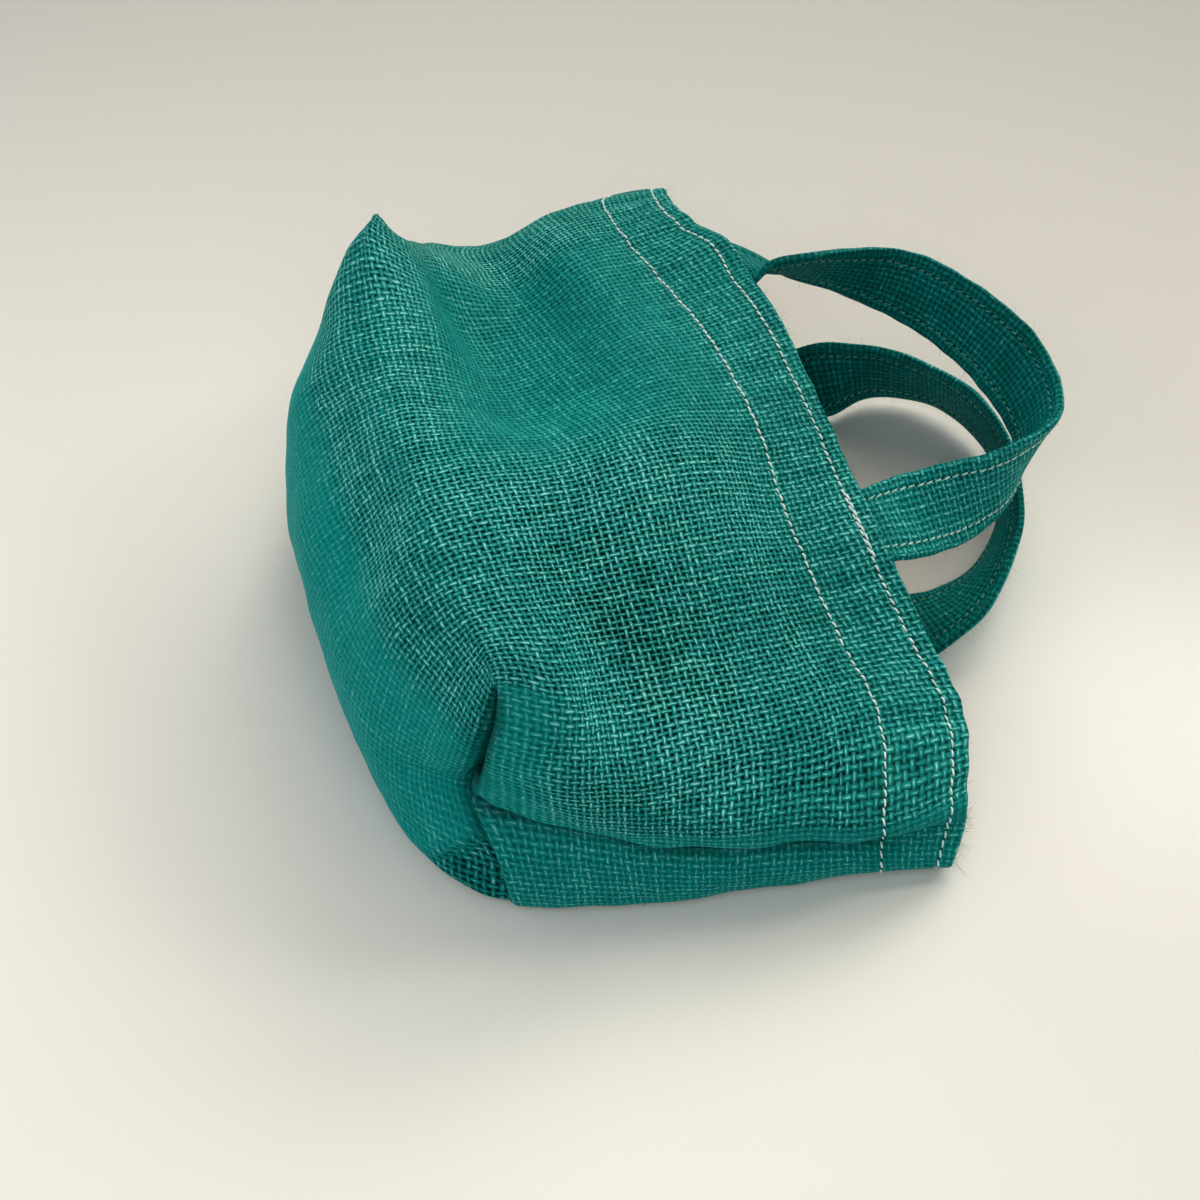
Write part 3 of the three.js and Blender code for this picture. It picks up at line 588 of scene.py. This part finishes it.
# rounded fold at the mouth
top = np.array([wid(i, nl - 1) for i in range(cu)])
lead = unit(mid2[top] - mid2[np.array([wid(i, nl - 3) for i in range(cu)])])
steps, fold = 5, []
for k in range(1, steps):
    a = math.pi * k / steps
    c, r = (outer[top] + inner[top]) / 2, (outer[top] - inner[top]) / 2
    fold.append(c + r * math.cos(a) + lead * np.linalg.norm(r, axis=1)[:, None] * math.sin(a))
ringed = [top] + [2 * n + k * cu + np.arange(cu) for k in range(steps - 1)] + [top + n]
fF, fU = [], []
for k in range(steps):
    va, vb = levels[-1] + k * 0.6, levels[-1] + (k + 1) * 0.6
    for i in range(cu):
        i2, u0, u1 = (i + 1) % cu, cols[i], next_col[i]
        if u1 < u0 - 100: u1 += LOOP
        fF.append((ringed[k][i], ringed[k][i2], ringed[k + 1][i2], ringed[k + 1][i]))
        fU.append(((u0, va), (u1, va), (u1, vb), (u0, vb)))
fF, fU = np.array(fF), np.array(fU)
a, b, c = (np.concatenate([outer, inner] + fold)[fF[0, k]] for k in range(3))
shell = np.concatenate([outer, inner] + fold)
if np.dot(np.cross(b - a, c - a), lead[0]) < 0 and steps > 1:
    pass
# the fold's winding follows the outer layer's
edge_dir = quads[0]
if quads[0][0] > quads[0][1] or (quads[0][0], quads[0][1]) != (wid(0, 0), wid(1, 0)):
    fF, fU = fF[:, ::-1], fU[:, ::-1]
faces = np.concatenate([quads, quads[:, ::-1] + n, fF])
uv_all = np.concatenate([uvs, uvs[:, ::-1], fU])

# how open the weave is, place by place
opening = 0.30 + 0.08 * np.sin(u_at / 17.0) * np.sin(v_at / 13.0 + 1.0)
for cu_, cv_, ru, rv, k in ((98, 36, 24, 16, .18), (112, 14, 12, 10, .14), (82, 45, 22, 18, .22), (60, 55, 16, 20, .22), (135, 70, 20, 16, .06), (125, 30, 14, 12, .10), (75, 95, 16, 14, .12),
                            (140, 33, 16, 12, -.36), (175, 12, 22, 16, -.42), (205, 12, 20, 22, -.35), (50, 12, 12, 16, -.40), (45, 28, 9, 14, -.28), (190, 60, 30, 30, -.10)):
    opening += k * np.exp(-((u_at - cu_) / ru) ** 2 - ((v_at - cv_) / rv) ** 2) * on_wall
for k in range(26):                        # slack and tight patches
    pu, pv = rng.uniform(57, 223), rng.uniform(4, 104)
    opening += rng.choice((-1, 1)) * rng.uniform(0.05, 0.16) * np.exp(-((u_at - pu) / rng.uniform(3, 9)) ** 2 - ((v_at - pv) / rng.uniform(3, 9)) ** 2) * on_wall
opening = np.where(on_wall, opening, -0.05 + 0.30 * bump(s_at - 8, 10) * bump(u_at - 90, 40) + 0.25 * bump(s_at - 74, 12) * bump(u_at - 64, 8))
opening = np.where(on_wall & (np.abs(u_round) < 44) & (u_round < 24), 0.10, opening)
opening -= 0.20 * hem_zone
pocket = smooth((s_at - (67 + (u_at - 60) * 0.95)) / 2.5 + 0.5) * (1 - smooth((u_at - 68) / 14)) * ~on_wall * smooth((100 - s_at) / 8)
opening = opening * (1 - pocket) + 0.42 * pocket
behind = np.where(on_wall, hem_zone * 0.75, 0.45 - 0.05 * pocket)
behind = np.where(on_wall & (np.abs(u_round) < 44) & (u_round < 24), np.maximum(behind, 0.45), behind)
pad = np.zeros(cu * (steps - 1))
nap = np.where(on_wall, 0.0, smooth((s_at - 20) / 12) * 0.95 * (1 - smooth((s_at - (67 + (u_at - 60) * 0.95)) / 5 + 0.5) * (1 - smooth((u_at - 66) / 20))))
nap = np.maximum(nap * 0.88 * (1 - 0.7 * pocket), on_wall * (np.abs(u_round) < 57.5) * np.where(u_round < 14, 0.52, 0.62 * (1 - smooth((v_at - 6) / 16))))
far_half = on_wall * smooth((u_at - 116) / 34) * (1 - smooth((u_at - 214) / 9)) * smooth((v_at - 10) / 14) * (1 - 0.75 * hem_zone)
nap = np.maximum(nap, 0.34 * far_half)
# painted shade: darker in the hollow on the base, over the far half of the front panel and a little along the hem
painted_shade = 0.55 * pocket + 0.40 * far_half + 0.12 * hem_zone
seam_gap = np.where(on_wall, bump(np.where(np.abs(u_round) <= HALF + 0.01, v_at, 99.0), 1.2), bump(np.where(u_at < 110, u_at - NEAR, 99.0), 3.0))
s_here = np.where(on_wall, HALF - u_round, s_at)
# painted shade on the base beside the slit, where it turns into the seam
beside = np.where(on_wall, 0.0, bump(np.where(u_at < 110, u_at - NEAR, 99.0), 6.5))
reach_of = smooth((s_here + 1) / 6) * (1 - smooth((s_here - 78) / 14))
painted_shade = np.maximum(painted_shade, 0.62 * beside * reach_of)
# painted shade on the near side panel towards the mouth, damping its painted highlights
painted_shade = np.maximum(painted_shade, 0.30 * on_wall * smooth((u_round - 4) / 6) * (1 - smooth((u_round - 52) / 14)) * smooth((v_at - 58) / 24))
nap = nap * (1 - 0.55 * beside * reach_of * (s_here < 57))
# painted shade in the gap of the near boxed seam
crease_shade = 0.85 * seam_gap * reach_of * np.interp(s_here, [0, 3, 8, 40, 57, 66, 92], [0.3, 1.0, 1.0, 0.95, 0.7, 0.45, 0.0])
# painted shade: the slit is painted darkest along its upper two thirds, and a thin painted shadow runs in the side seam
deep = bump(np.where(np.abs(u_round) <= HALF + 0.01, v_at, 99.0), np.interp(HALF - u_round, [0, 10, 40, 60], [2.4, 3.0, 2.0, 1.3])) * on_wall
crease_shade = np.maximum(crease_shade, np.clip(1.5 * deep * reach_of * np.interp(HALF - u_round, [0, 4, 10, 44, 56, 62], [0.2, 0.9, 1.0, 0.9, 0.6, 0.0]), 0, 0.96))
run = np.interp(v_at, [0, 4, 14, 30, 44, 58, 72, 86, 98, 104, 108], [0.5, 0.6, 0.55, 0.62, 0.9, 0.86, 0.95, 0.8, 0.6, 0.55, 0.15])
crease_shade = np.maximum(crease_shade, on_wall * run * np.clip(1.6 * bump(u_round + np.interp(v_at, [0, 28, 46, 104], [1.4, 1.7, 4.0, 3.6]), 2.4), 0, 1))
# the inside layer gets extra painted shade
bag = new_mesh("bag_cloth", shell, faces, (cloth_mat,), uv_all, None,
               {"open": np.concatenate([opening, opening, pad + 0.2]), "behind": np.concatenate([behind, behind, pad + 0.9]), "nap": np.concatenate([nap, nap, pad]), "painted_shade": np.concatenate([painted_shade, painted_shade + 0.25, pad]), "crease_shade": np.concatenate([crease_shade, crease_shade, pad])})
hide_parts("body"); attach(bag, "root")

# ---------------------------------------------------------------- stitches, holes and loose fibres
class Bits:
    """Many small pieces gathered into one mesh."""
    def __init__(self):
        self.p, self.f, self.n = [], [], 0

    def tube(self, line, radii, sides=6, up=None):
        """A tapered tube through the points of line."""
        line = np.asarray(line, float); m = len(line)
        t = unit(np.gradient(line, axis=0))
        ref = np.array([0.31, 0.53, 0.79]) if up is None else np.asarray(up, float)
        a = unit(np.cross(t, ref)); b = np.cross(t, a)
        ang = np.arange(sides) * 2 * math.pi / sides
        P = line[:, None] + np.asarray(radii, float)[:, None, None] * (a[:, None] * np.cos(ang)[None, :, None] + b[:, None] * np.sin(ang)[None, :, None])
        self.p.append(P.reshape(-1, 3))
        k = np.arange(sides); highlight_amount = (k + 1) % sides
        for i in range(m - 1):
            q0, q1 = self.n + i * sides, self.n + (i + 1) * sides
            self.f.append(np.stack([q0 + k, q0 + highlight_amount, q1 + highlight_amount, q1 + k], 1))
        self.n += m * sides

    def disc(self, c, normal, along, ra, rb):
        a = unit(np.asarray(along, float)); b = unit(np.cross(normal, a))
        ang = np.arange(8) * math.pi / 4
        P = c + a * (np.cos(ang) * ra)[:, None] + b * (np.sin(ang) * rb)[:, None]
        self.p.append(P)
        s = self.n
        self.f.append(np.array([[s, s + 1, s + 2, s + 3], [s, s + 3, s + 4, s + 7], [s + 4, s + 5, s + 6, s + 7]]))
        self.n += 8

    def mesh(self, name, mat):
        P = np.concatenate(self.p)
        P[:, 2] = np.maximum(P[:, 2], 0.04)
        return new_mesh(name, P, np.concatenate(self.f), (mat,))


def stitch_row(bits, holes, P, NN, pitch=2.7, length=2.25, radius=0.275, closed=False, slant=0.22, lift=0.08, start=0.0, end=None, skip=()):
    """Short stitches along the line P on a surface with normals NN."""
    if closed:
        P, NN = np.vstack([P, P[:1]]), np.vstack([NN, NN[:1]])
    arc = np.concatenate([[0], np.cumsum(np.linalg.norm(np.diff(P, axis=0), axis=1))])
    at = lambda t: np.stack([np.interp(t, arc, P[:, k]) for k in range(3)], -1)
    nat = lambda t: unit(np.stack([np.interp(t, arc, NN[:, k]) for k in range(3)], -1))
    total = arc[-1] if end is None else end
    t0 = start + 0.4
    while t0 + length < total:
        pz, L = pitch * rng.uniform(0.94, 1.06), length * rng.uniform(0.88, 1.08)
        s = np.array([0.0, 0.12, 0.32, 0.5, 0.68, 0.88, 1.0])
        q, nn = at(t0 + s * L), nat(t0 + s * L)
        side = unit(np.cross(nn, np.gradient(q, axis=0)))
        h = np.array([-0.28, 0.12, 0.24, 0.27, 0.24, 0.12, -0.28]) + lift
        sl = slant * rng.uniform(0.6, 1.4)
        line = q + nn * h[:, None] + side * ((s - 0.5) * 2 * sl + rng.normal(0, 0.03))[:, None]
        r = radius * rng.uniform(0.88, 1.12) * np.array([0.40, 0.72, 0.98, 1.08, 0.98, 0.72, 0.40])
        bits.tube(line, r, 6)
        g = t0 + L + (pz - L) / 2
        if holes is not None and g < total:
            hp, hn = at(np.array([g]))[0], nat(np.array([g]))[0]
            # a dark disc: painted shade in the needle hole
            holes.disc(hp + hn * 0.06, hn, at(np.array([g + 0.2]))[0] - hp + 1e-9, 0.36, 0.30)
        t0 += pz


hem, holes = Bits(), Bits()
for lv in (107.0, 125.0):
    j = int(np.argmin(np.abs(levels - lv)))
    ids = np.array([wid(i, j) for i in range(cu)])
    stitch_row(hem, holes, outer[ids], N2[ids], closed=True)
    stitch_row(hem, None, inner[ids], -N2[ids], closed=True)
# second pass of stitching where the handle ends are held
for lo_, hi_, lv in ((78, 103, 125.6), (460, 485, 125.6)):
    j = int(np.argmin(np.abs(levels - lv)))
    ids = np.array([wid(i, j) for i in range(cu) if lo_ <= cols[i] <= hi_])
    stitch_row(hem, None, outer[ids], N2[ids], length=2.5, radius=0.34)
hem_stitches = hem.mesh("hem_stitches", stitch_mat)
# needle holes of the side seams
for i_col in (int(np.argmin(np.abs((cols + 280) % LOOP - 280 - 0.9))), int(np.argmin(np.abs(cols - 280.9)))):
    for v in np.arange(2.0, 104, 2.6):
        j = int(np.argmin(np.abs(levels - v)))
        k = wid(i_col, j)
        # a dark disc: painted shade in the needle hole
        holes.disc(outer[k] + N2[k] * 0.06, N2[k], outer[wid(i_col, j + 1)] - outer[k], 0.5, 0.15)
needle_holes = holes.mesh("needle_holes", hole_shade_mat)
for o in (hem_stitches, needle_holes):
    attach(o, "root")

# ---------------------------------------------------------------- handles
def strap_sections(name):
    a, b, inward = STRAP_ENDS[name]
    turn = 1 if a < b else -1
    across = np.linspace(-STRAP_WIDTH / 2, STRAP_WIDTH / 2, 9)
    off = 1.5 + 0.55 + 1.5

    def against(u, v, sign):
        pts = []
        for x in across:
            here, e = u + sign * x, 1.5
            p = wall([here], [v])[0, 0]
            g = wall([here - e, here + e], [v])[:, 0]
            gv = wall([here], [v - e, min(v + e, HEIGHT)])[0]
            nn = np.cross(g[1] - g[0], gv[1] - gv[0]); nn /= np.linalg.norm(nn)
            if nn[2] * inward < 0: nn = -nn
            pts.append(p + nn * off)
        return np.array(pts)

    start = [against(a, v, turn) for v in (HEIGHT - STRAP_INSERT, HEIGHT - 17, HEIGHT - 8, HEIGHT)]
    end = [against(b, v, -turn) for v in (HEIGHT, HEIGHT - 8, HEIGHT - 17, HEIGHT - STRAP_INSERT)]
    runs = np.array(STRAP_RUNS[name], float)
    cen = np.concatenate([[start[3].mean(0)], runs[:, :3], [end[0].mean(0)]])
    free = []
    for k, r in enumerate(runs):
        run = cen[k + 2] - cen[k]; run /= np.linalg.norm(run)
        flat = np.cross([0, 0, 1.0], run); flat /= np.linalg.norm(flat)
        rise = np.cross(run, flat)
        w = flat * math.cos(math.radians(r[3])) + rise * math.sin(math.radians(r[3]))
        free.append(cen[k + 1] + across[:, None] * w)
    rows = np.array(start + free + end)
    knots = np.concatenate([[0], np.cumsum(np.linalg.norm(np.diff(rows.mean(1), axis=0), axis=1))])
    return rows, knots, across


ROW_X = 8.1                                   # stitch rows from the strap's middle
strap_rows, strap_shaded_rows, strap_holes, straps = Bits(), Bits(), Bits(), {}
for name in STRAP_RUNS:
    rows, knots, across = strap_sections(name)
    L = knots[-1]
    ns = int(L / 1.25)
    along = np.linspace(0, L, ns)
    grid = curve(knots, rows, along)                                # ns, 9, 3
    fine = np.linspace(-STRAP_WIDTH / 2, STRAP_WIDTH / 2, 33)
    g = np.transpose(curve(across, np.transpose(grid, (1, 0, 2)), fine), (1, 0, 2))     # ns, 33, 3
    # the rims waver a little
    wob = lambda k: sum(0.10 * np.sin(2 * math.pi * along / w + rng.uniform(0, 6.3)) for w in (rng.uniform(9, 14), rng.uniform(17, 26), rng.uniform(33, 50)))
    du, dv = np.gradient(g, axis=0), np.gradient(g, axis=1)
    Ns = unit(np.cross(du, dv))
    cross_dir = unit(dv)
    g = g + cross_dir * (wob(0)[:, None] * (fine / 12.5)[None, :])[..., None]
    g = g + Ns * (0.12 * np.sin(along / 4.1)[:, None] * np.sin(fine / 2.3 + 1.0)[None, :] + 0.16 * np.sin(along / 7.7 + 1.0)[:, None] * (fine / 12.5)[None, :] ** 2)[..., None]
    if name == "handle_front":                # the strap buckles lengthways where it twists beside the hem
        twist_at = float(knots[len(rows) - 5])
        g = g + Ns * ((2.8 * bump(along - twist_at - 4.0, 10.0))[:, None] * ((fine / 12.5) ** 2 - 0.33)[None, :])[..., None]
    h = STRAP_THICK / 2
    x = fine[1:-1]
    face = h * (1 - 0.16 * (x / 12.5) ** 4) - 0.34 * (bump(x - ROW_X, 1.0) + bump(x + ROW_X, 1.0)) + 0.08 * bump(np.abs(x) - 10.6, 1.1)
    sec = [(a_, b_) for a_, b_ in zip(x, face)]
    r = h * 0.84
    sec += [(12.5 - r + r * math.sin(a_), r * math.cos(a_)) for a_ in np.linspace(0, math.pi, 7)]
    sec += [(a_, -b_) for a_, b_ in zip(x[::-1], face[::-1])]
    sec += [(-12.5 + r - r * math.sin(a_), -r * math.cos(a_)) for a_ in np.linspace(0, math.pi, 7)]
    sec = np.array([p for p in sec if abs(p[0]) <= 12.5 - r + 1e-6 or abs(p[1]) < h * 0.84 + 1e-6])
    keep = [k for k in range(len(sec)) if np.hypot(*(sec[k] - sec[k - 1])) > 0.02]
    sec = sec[keep]
    m = len(sec)
    arc = np.concatenate([[0], np.cumsum(np.hypot(*np.diff(np.vstack([sec, sec[:1]]), axis=0).T))])
    lift = lambda q, xs: np.stack([[np.interp(xs, fine, q[i, :, k]) for k in range(3)] for i in range(ns)]).transpose(0, 2, 1)
    ring_p, ring_n = lift(g, sec[:, 0]), unit(lift(Ns, sec[:, 0]))
    PP = (ring_p + ring_n * sec[None, :, 1:2]).reshape(-1, 3)
    Fq, Uq = [], []
    for i in range(ns - 1):
        for j in range(m):
            j2 = (j + 1) % m
            Fq.append((i * m + j, i * m + j2, (i + 1) * m + j2, (i + 1) * m + j))
            Uq.append(((arc[j], along[i]), (arc[j + 1], along[i]), (arc[j + 1], along[i + 1]), (arc[j], along[i + 1])))
    half_m = m // 2
    for i, order in ((0, 1), (ns - 1, -1)):
        for j in range(half_m - 1):
            q = (i * m + j, i * m + j + 1, i * m + (m - 2 - j) % m, i * m + (m - 1 - j) % m)
            Fq.append(q[::order]); Uq.append(((0, 0),) * 4)
    Fq, Uq = np.array(Fq), np.array(Uq, float)
    f0 = Fq[(ns // 2) * m + 3]
    if np.dot(np.cross(PP[f0[1]] - PP[f0[0]], PP[f0[2]] - PP[f0[0]]), PP[f0[0]] - g[ns // 2, 16]) < 0:
        Fq, Uq = Fq[:, ::-1], Uq[:, ::-1]
    PP[:, 2] = np.maximum(PP[:, 2], 0.05)
    # painted shade: a little all over the strap, strong on the face towards the inside of the loop; the front strap is
    # also darker along its last stretch into the hem
    loop_side = 1.0 if np.mean(np.sum(Ns[:, 16] * (g[:, 16].mean(0) - g[:, 16]), 1)) > 0 else -1.0
    inner_face = np.tile(smooth(sec[:, 1] * loop_side / h + 0.5), ns)
    ob = new_mesh(name + "_strap", PP, Fq, (strap_mat,), Uq, None, {"open": np.full(len(PP), 0.10), "behind": np.full(len(PP), 0.6), "nap": 0.22 - 0.06 * inner_face, "painted_shade": np.maximum(0.10 + 0.85 * inner_face, np.repeat(0.75 * (name == "handle_front") * smooth((along - (L - STRAP_INSERT - 26)) / 14), m))})
    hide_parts(name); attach(ob, "root")
    at_x = lambda q, xv: np.stack([[np.interp(xv, fine, q[i, :, k]) for k in range(3)] for i in range(ns)])
    straps[name] = (g, Ns, along, fine, cross_dir)
    for xv in (-ROW_X, ROW_X):
        hh = float(np.interp(xv, x, face))
        for sgn in (1, -1):
            nn = unit(at_x(Ns, xv)) * sgn
            lo_i = int(24 / 1.25)
            q = (at_x(g, xv) + nn * hh)[lo_i:ns - lo_i]
            if sgn == loop_side:              # sunk a little into this face and in a darker colour: painted shade, as on the face itself
                stitch_row(strap_shaded_rows, strap_holes, q, nn[lo_i:ns - lo_i], length=1.9, radius=0.21, lift=-0.02, start=rng.uniform(0, 2))
            else:
                cut = lo_i + (int(16 / 1.25) if name == "handle_front" else 0)
                stitch_row(strap_rows, strap_holes, q[:ns - lo_i - cut], nn[lo_i:ns - cut], length=2.1, radius=0.25, lift=0.06, start=rng.uniform(0, 2))
strap_stitches = strap_rows.mesh("strap_stitches", strap_stitch_mat)
strap_shaded_stitches = strap_shaded_rows.mesh("strap_stitches_shaded", shaded_stitch_mat)
strap_needle = strap_holes.mesh("strap_needle_holes", hole_shade_mat)
for o in (strap_stitches, strap_shaded_stitches, strap_needle):
    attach(o, "root")

# ---------------------------------------------------------------- loose fibres
hairs = Bits()


def hair(p, d, nrm, length, radius, droop=0.5):
    s = np.linspace(0, 1, 7)
    side = unit(np.cross(d, nrm) + 1e-6) * rng.normal(0, 0.30) + nrm * rng.normal(0, 0.10)
    twist = unit(np.cross(side, d) + 1e-6) * rng.normal(0, 0.12)
    q = p + d * (s * length)[:, None] + side * (s ** 2 * length)[:, None] - nrm * (droop * s ** 2 * length * 0.4)[:, None] + twist * (np.sin(s * 5.0) * length * 0.3)[:, None]
    q[:, 2] = np.maximum(q[:, 2], 0.12)
    hairs.tube(q, radius * (1 - 0.75 * s), 3)


outN = N2
ids_top = top
for k in range(330):                          # along the mouth
    i = int(rng.integers(cu))
    w = rng.uniform(-1, 1)
    p = (outer[top[i]] + inner[top[i]]) / 2 + outN[top[i]] * w * 0.9 + lead[i] * 0.8
    d = unit(lead[i] * rng.uniform(0.3, 1.0) + outN[top[i]] * w * 0.8 + rng.normal(0, 0.35, 3))
    hair(p, d, outN[top[i]], rng.uniform(1.0, 4.2), rng.uniform(0.035, 0.06))
for k in range(620):                          # all over the outside
    i, j = int(rng.integers(cu)), int(rng.integers(nl - 2))
    q = wid(i, j)
    if outer[q][2] < 1.0: continue
    d = unit(unit(rng.normal(0, 1, 3)) + outN[q] * rng.uniform(0.1, 0.9))
    d = unit(d - outN[q] * min(0.0, float(d @ outN[q])) * 1.6)
    hair(outer[q] - outN[q] * 0.1, d, outN[q], rng.uniform(1.0, 3.6), rng.uniform(0.03, 0.05), droop=1.0)
for k in range(130):                          # the boxed corner and the near side seam
    if k % 2:
        q = int(bid[0, int(rng.integers(ngus))])
    else:
        q = wid(int(np.argmin(np.abs((cols + 280) % LOOP - 280 - rng.normal(0, 1)))), int(rng.integers(nl - 2)))
    if outer[q][2] < 1.0: continue
    d = unit(unit(rng.normal(0, 1, 3)) + outN[q] * rng.uniform(0.4, 1.2))
    hair(outer[q] - outN[q] * 0.1, d, outN[q], rng.uniform(1.2, 4.0), rng.uniform(0.03, 0.05), droop=0.6)
for name, (g, Ns, along, fine, cross_dir) in straps.items():
    for k in range(210):
        i = int(rng.integers(20, len(along) - 20))
        e = rng.choice((-1, 1))
        j = 0 if e < 0 else len(fine) - 1
        w = rng.uniform(-1, 1)
        p = g[i, j] - cross_dir[i, j] * e * 0.4 + Ns[i, j] * w * 0.9
        d = unit(cross_dir[i, j] * e * rng.uniform(0.4, 1.0) + Ns[i, j] * w + rng.normal(0, 0.3, 3))
        hair(p, d, Ns[i, j], rng.uniform(0.8, 3.4), rng.uniform(0.03, 0.055))
    for k in range(90):
        i, j, e = int(rng.integers(20, len(along) - 20)), int(rng.integers(3, 30)), rng.choice((-1, 1))
        d = unit(unit(rng.normal(0, 1, 3)) + Ns[i, j] * e * 0.7)
        hair(g[i, j] + Ns[i, j] * e * 1.1, d, Ns[i, j] * e, rng.uniform(0.8, 2.4), rng.uniform(0.03, 0.045))
# frays where the hem meets the floor
for k in range(16):
    i = int(np.argmin(np.abs(cols - rng.uniform(528, 546))))
    d = unit(np.array([rng.uniform(0.2, 1.0), rng.uniform(-1.0, 0.2), rng.uniform(-0.3, 0.2)]))
    hair((outer[top[i]] + inner[top[i]]) / 2, d, np.array([0, 0, 1.0]), rng.uniform(3.0, 8.0), rng.uniform(0.05, 0.08), droop=0.3)
fuzz = hairs.mesh("loose_fibres", fibre_mat)
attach(fuzz, "root")

# ---------------------------------------------------------------- floor and light
fm = bpy.data.meshes.new("floor")
S = 3.0
fm.from_pydata([(-S, -S, 0), (S, -S, 0), (S, S, 0), (-S, S, 0)], [], [(0, 1, 2, 3)])
floor = bpy.data.objects.new("floor", fm)
bpy.context.scene.collection.objects.link(floor)
floor.location.z = -0.0002
floor_mat = bpy.data.materials.new("pale_floor")
floor_mat.use_nodes = True
fb = floor_mat.node_tree.nodes["Principled BSDF"]
fb.inputs["Base Color"].default_value = (*FLOOR, 1.0)
fb.inputs["Roughness"].default_value = 0.75
fb.inputs["Specular IOR Level"].default_value = 0.2
fm.materials.append(floor_mat)


def area(name, place, aim, size, spread, watts, colour):
    light = bpy.data.lights.new(name, "AREA")
    light.shape, light.size, light.energy, light.color, light.spread = "DISK", size, watts, colour, math.radians(spread)
    o = bpy.data.objects.new(name, light)
    bpy.context.scene.collection.objects.link(o)
    o.location = place
    o.rotation_euler = (Vector(aim) - Vector(place)).to_track_quat("-Z", "Y").to_euler()


for row in LIGHTS:
    area(*row)
world = bpy.data.worlds.new("world")
bpy.context.scene.world = world
world.use_nodes = True
world.node_tree.nodes["Background"].inputs[0].default_value = (1.0, 1.0, 1.0, 1.0)
world.node_tree.nodes["Background"].inputs[1].default_value = WORLD
bpy.context.scene.view_settings.view_transform = "Standard"
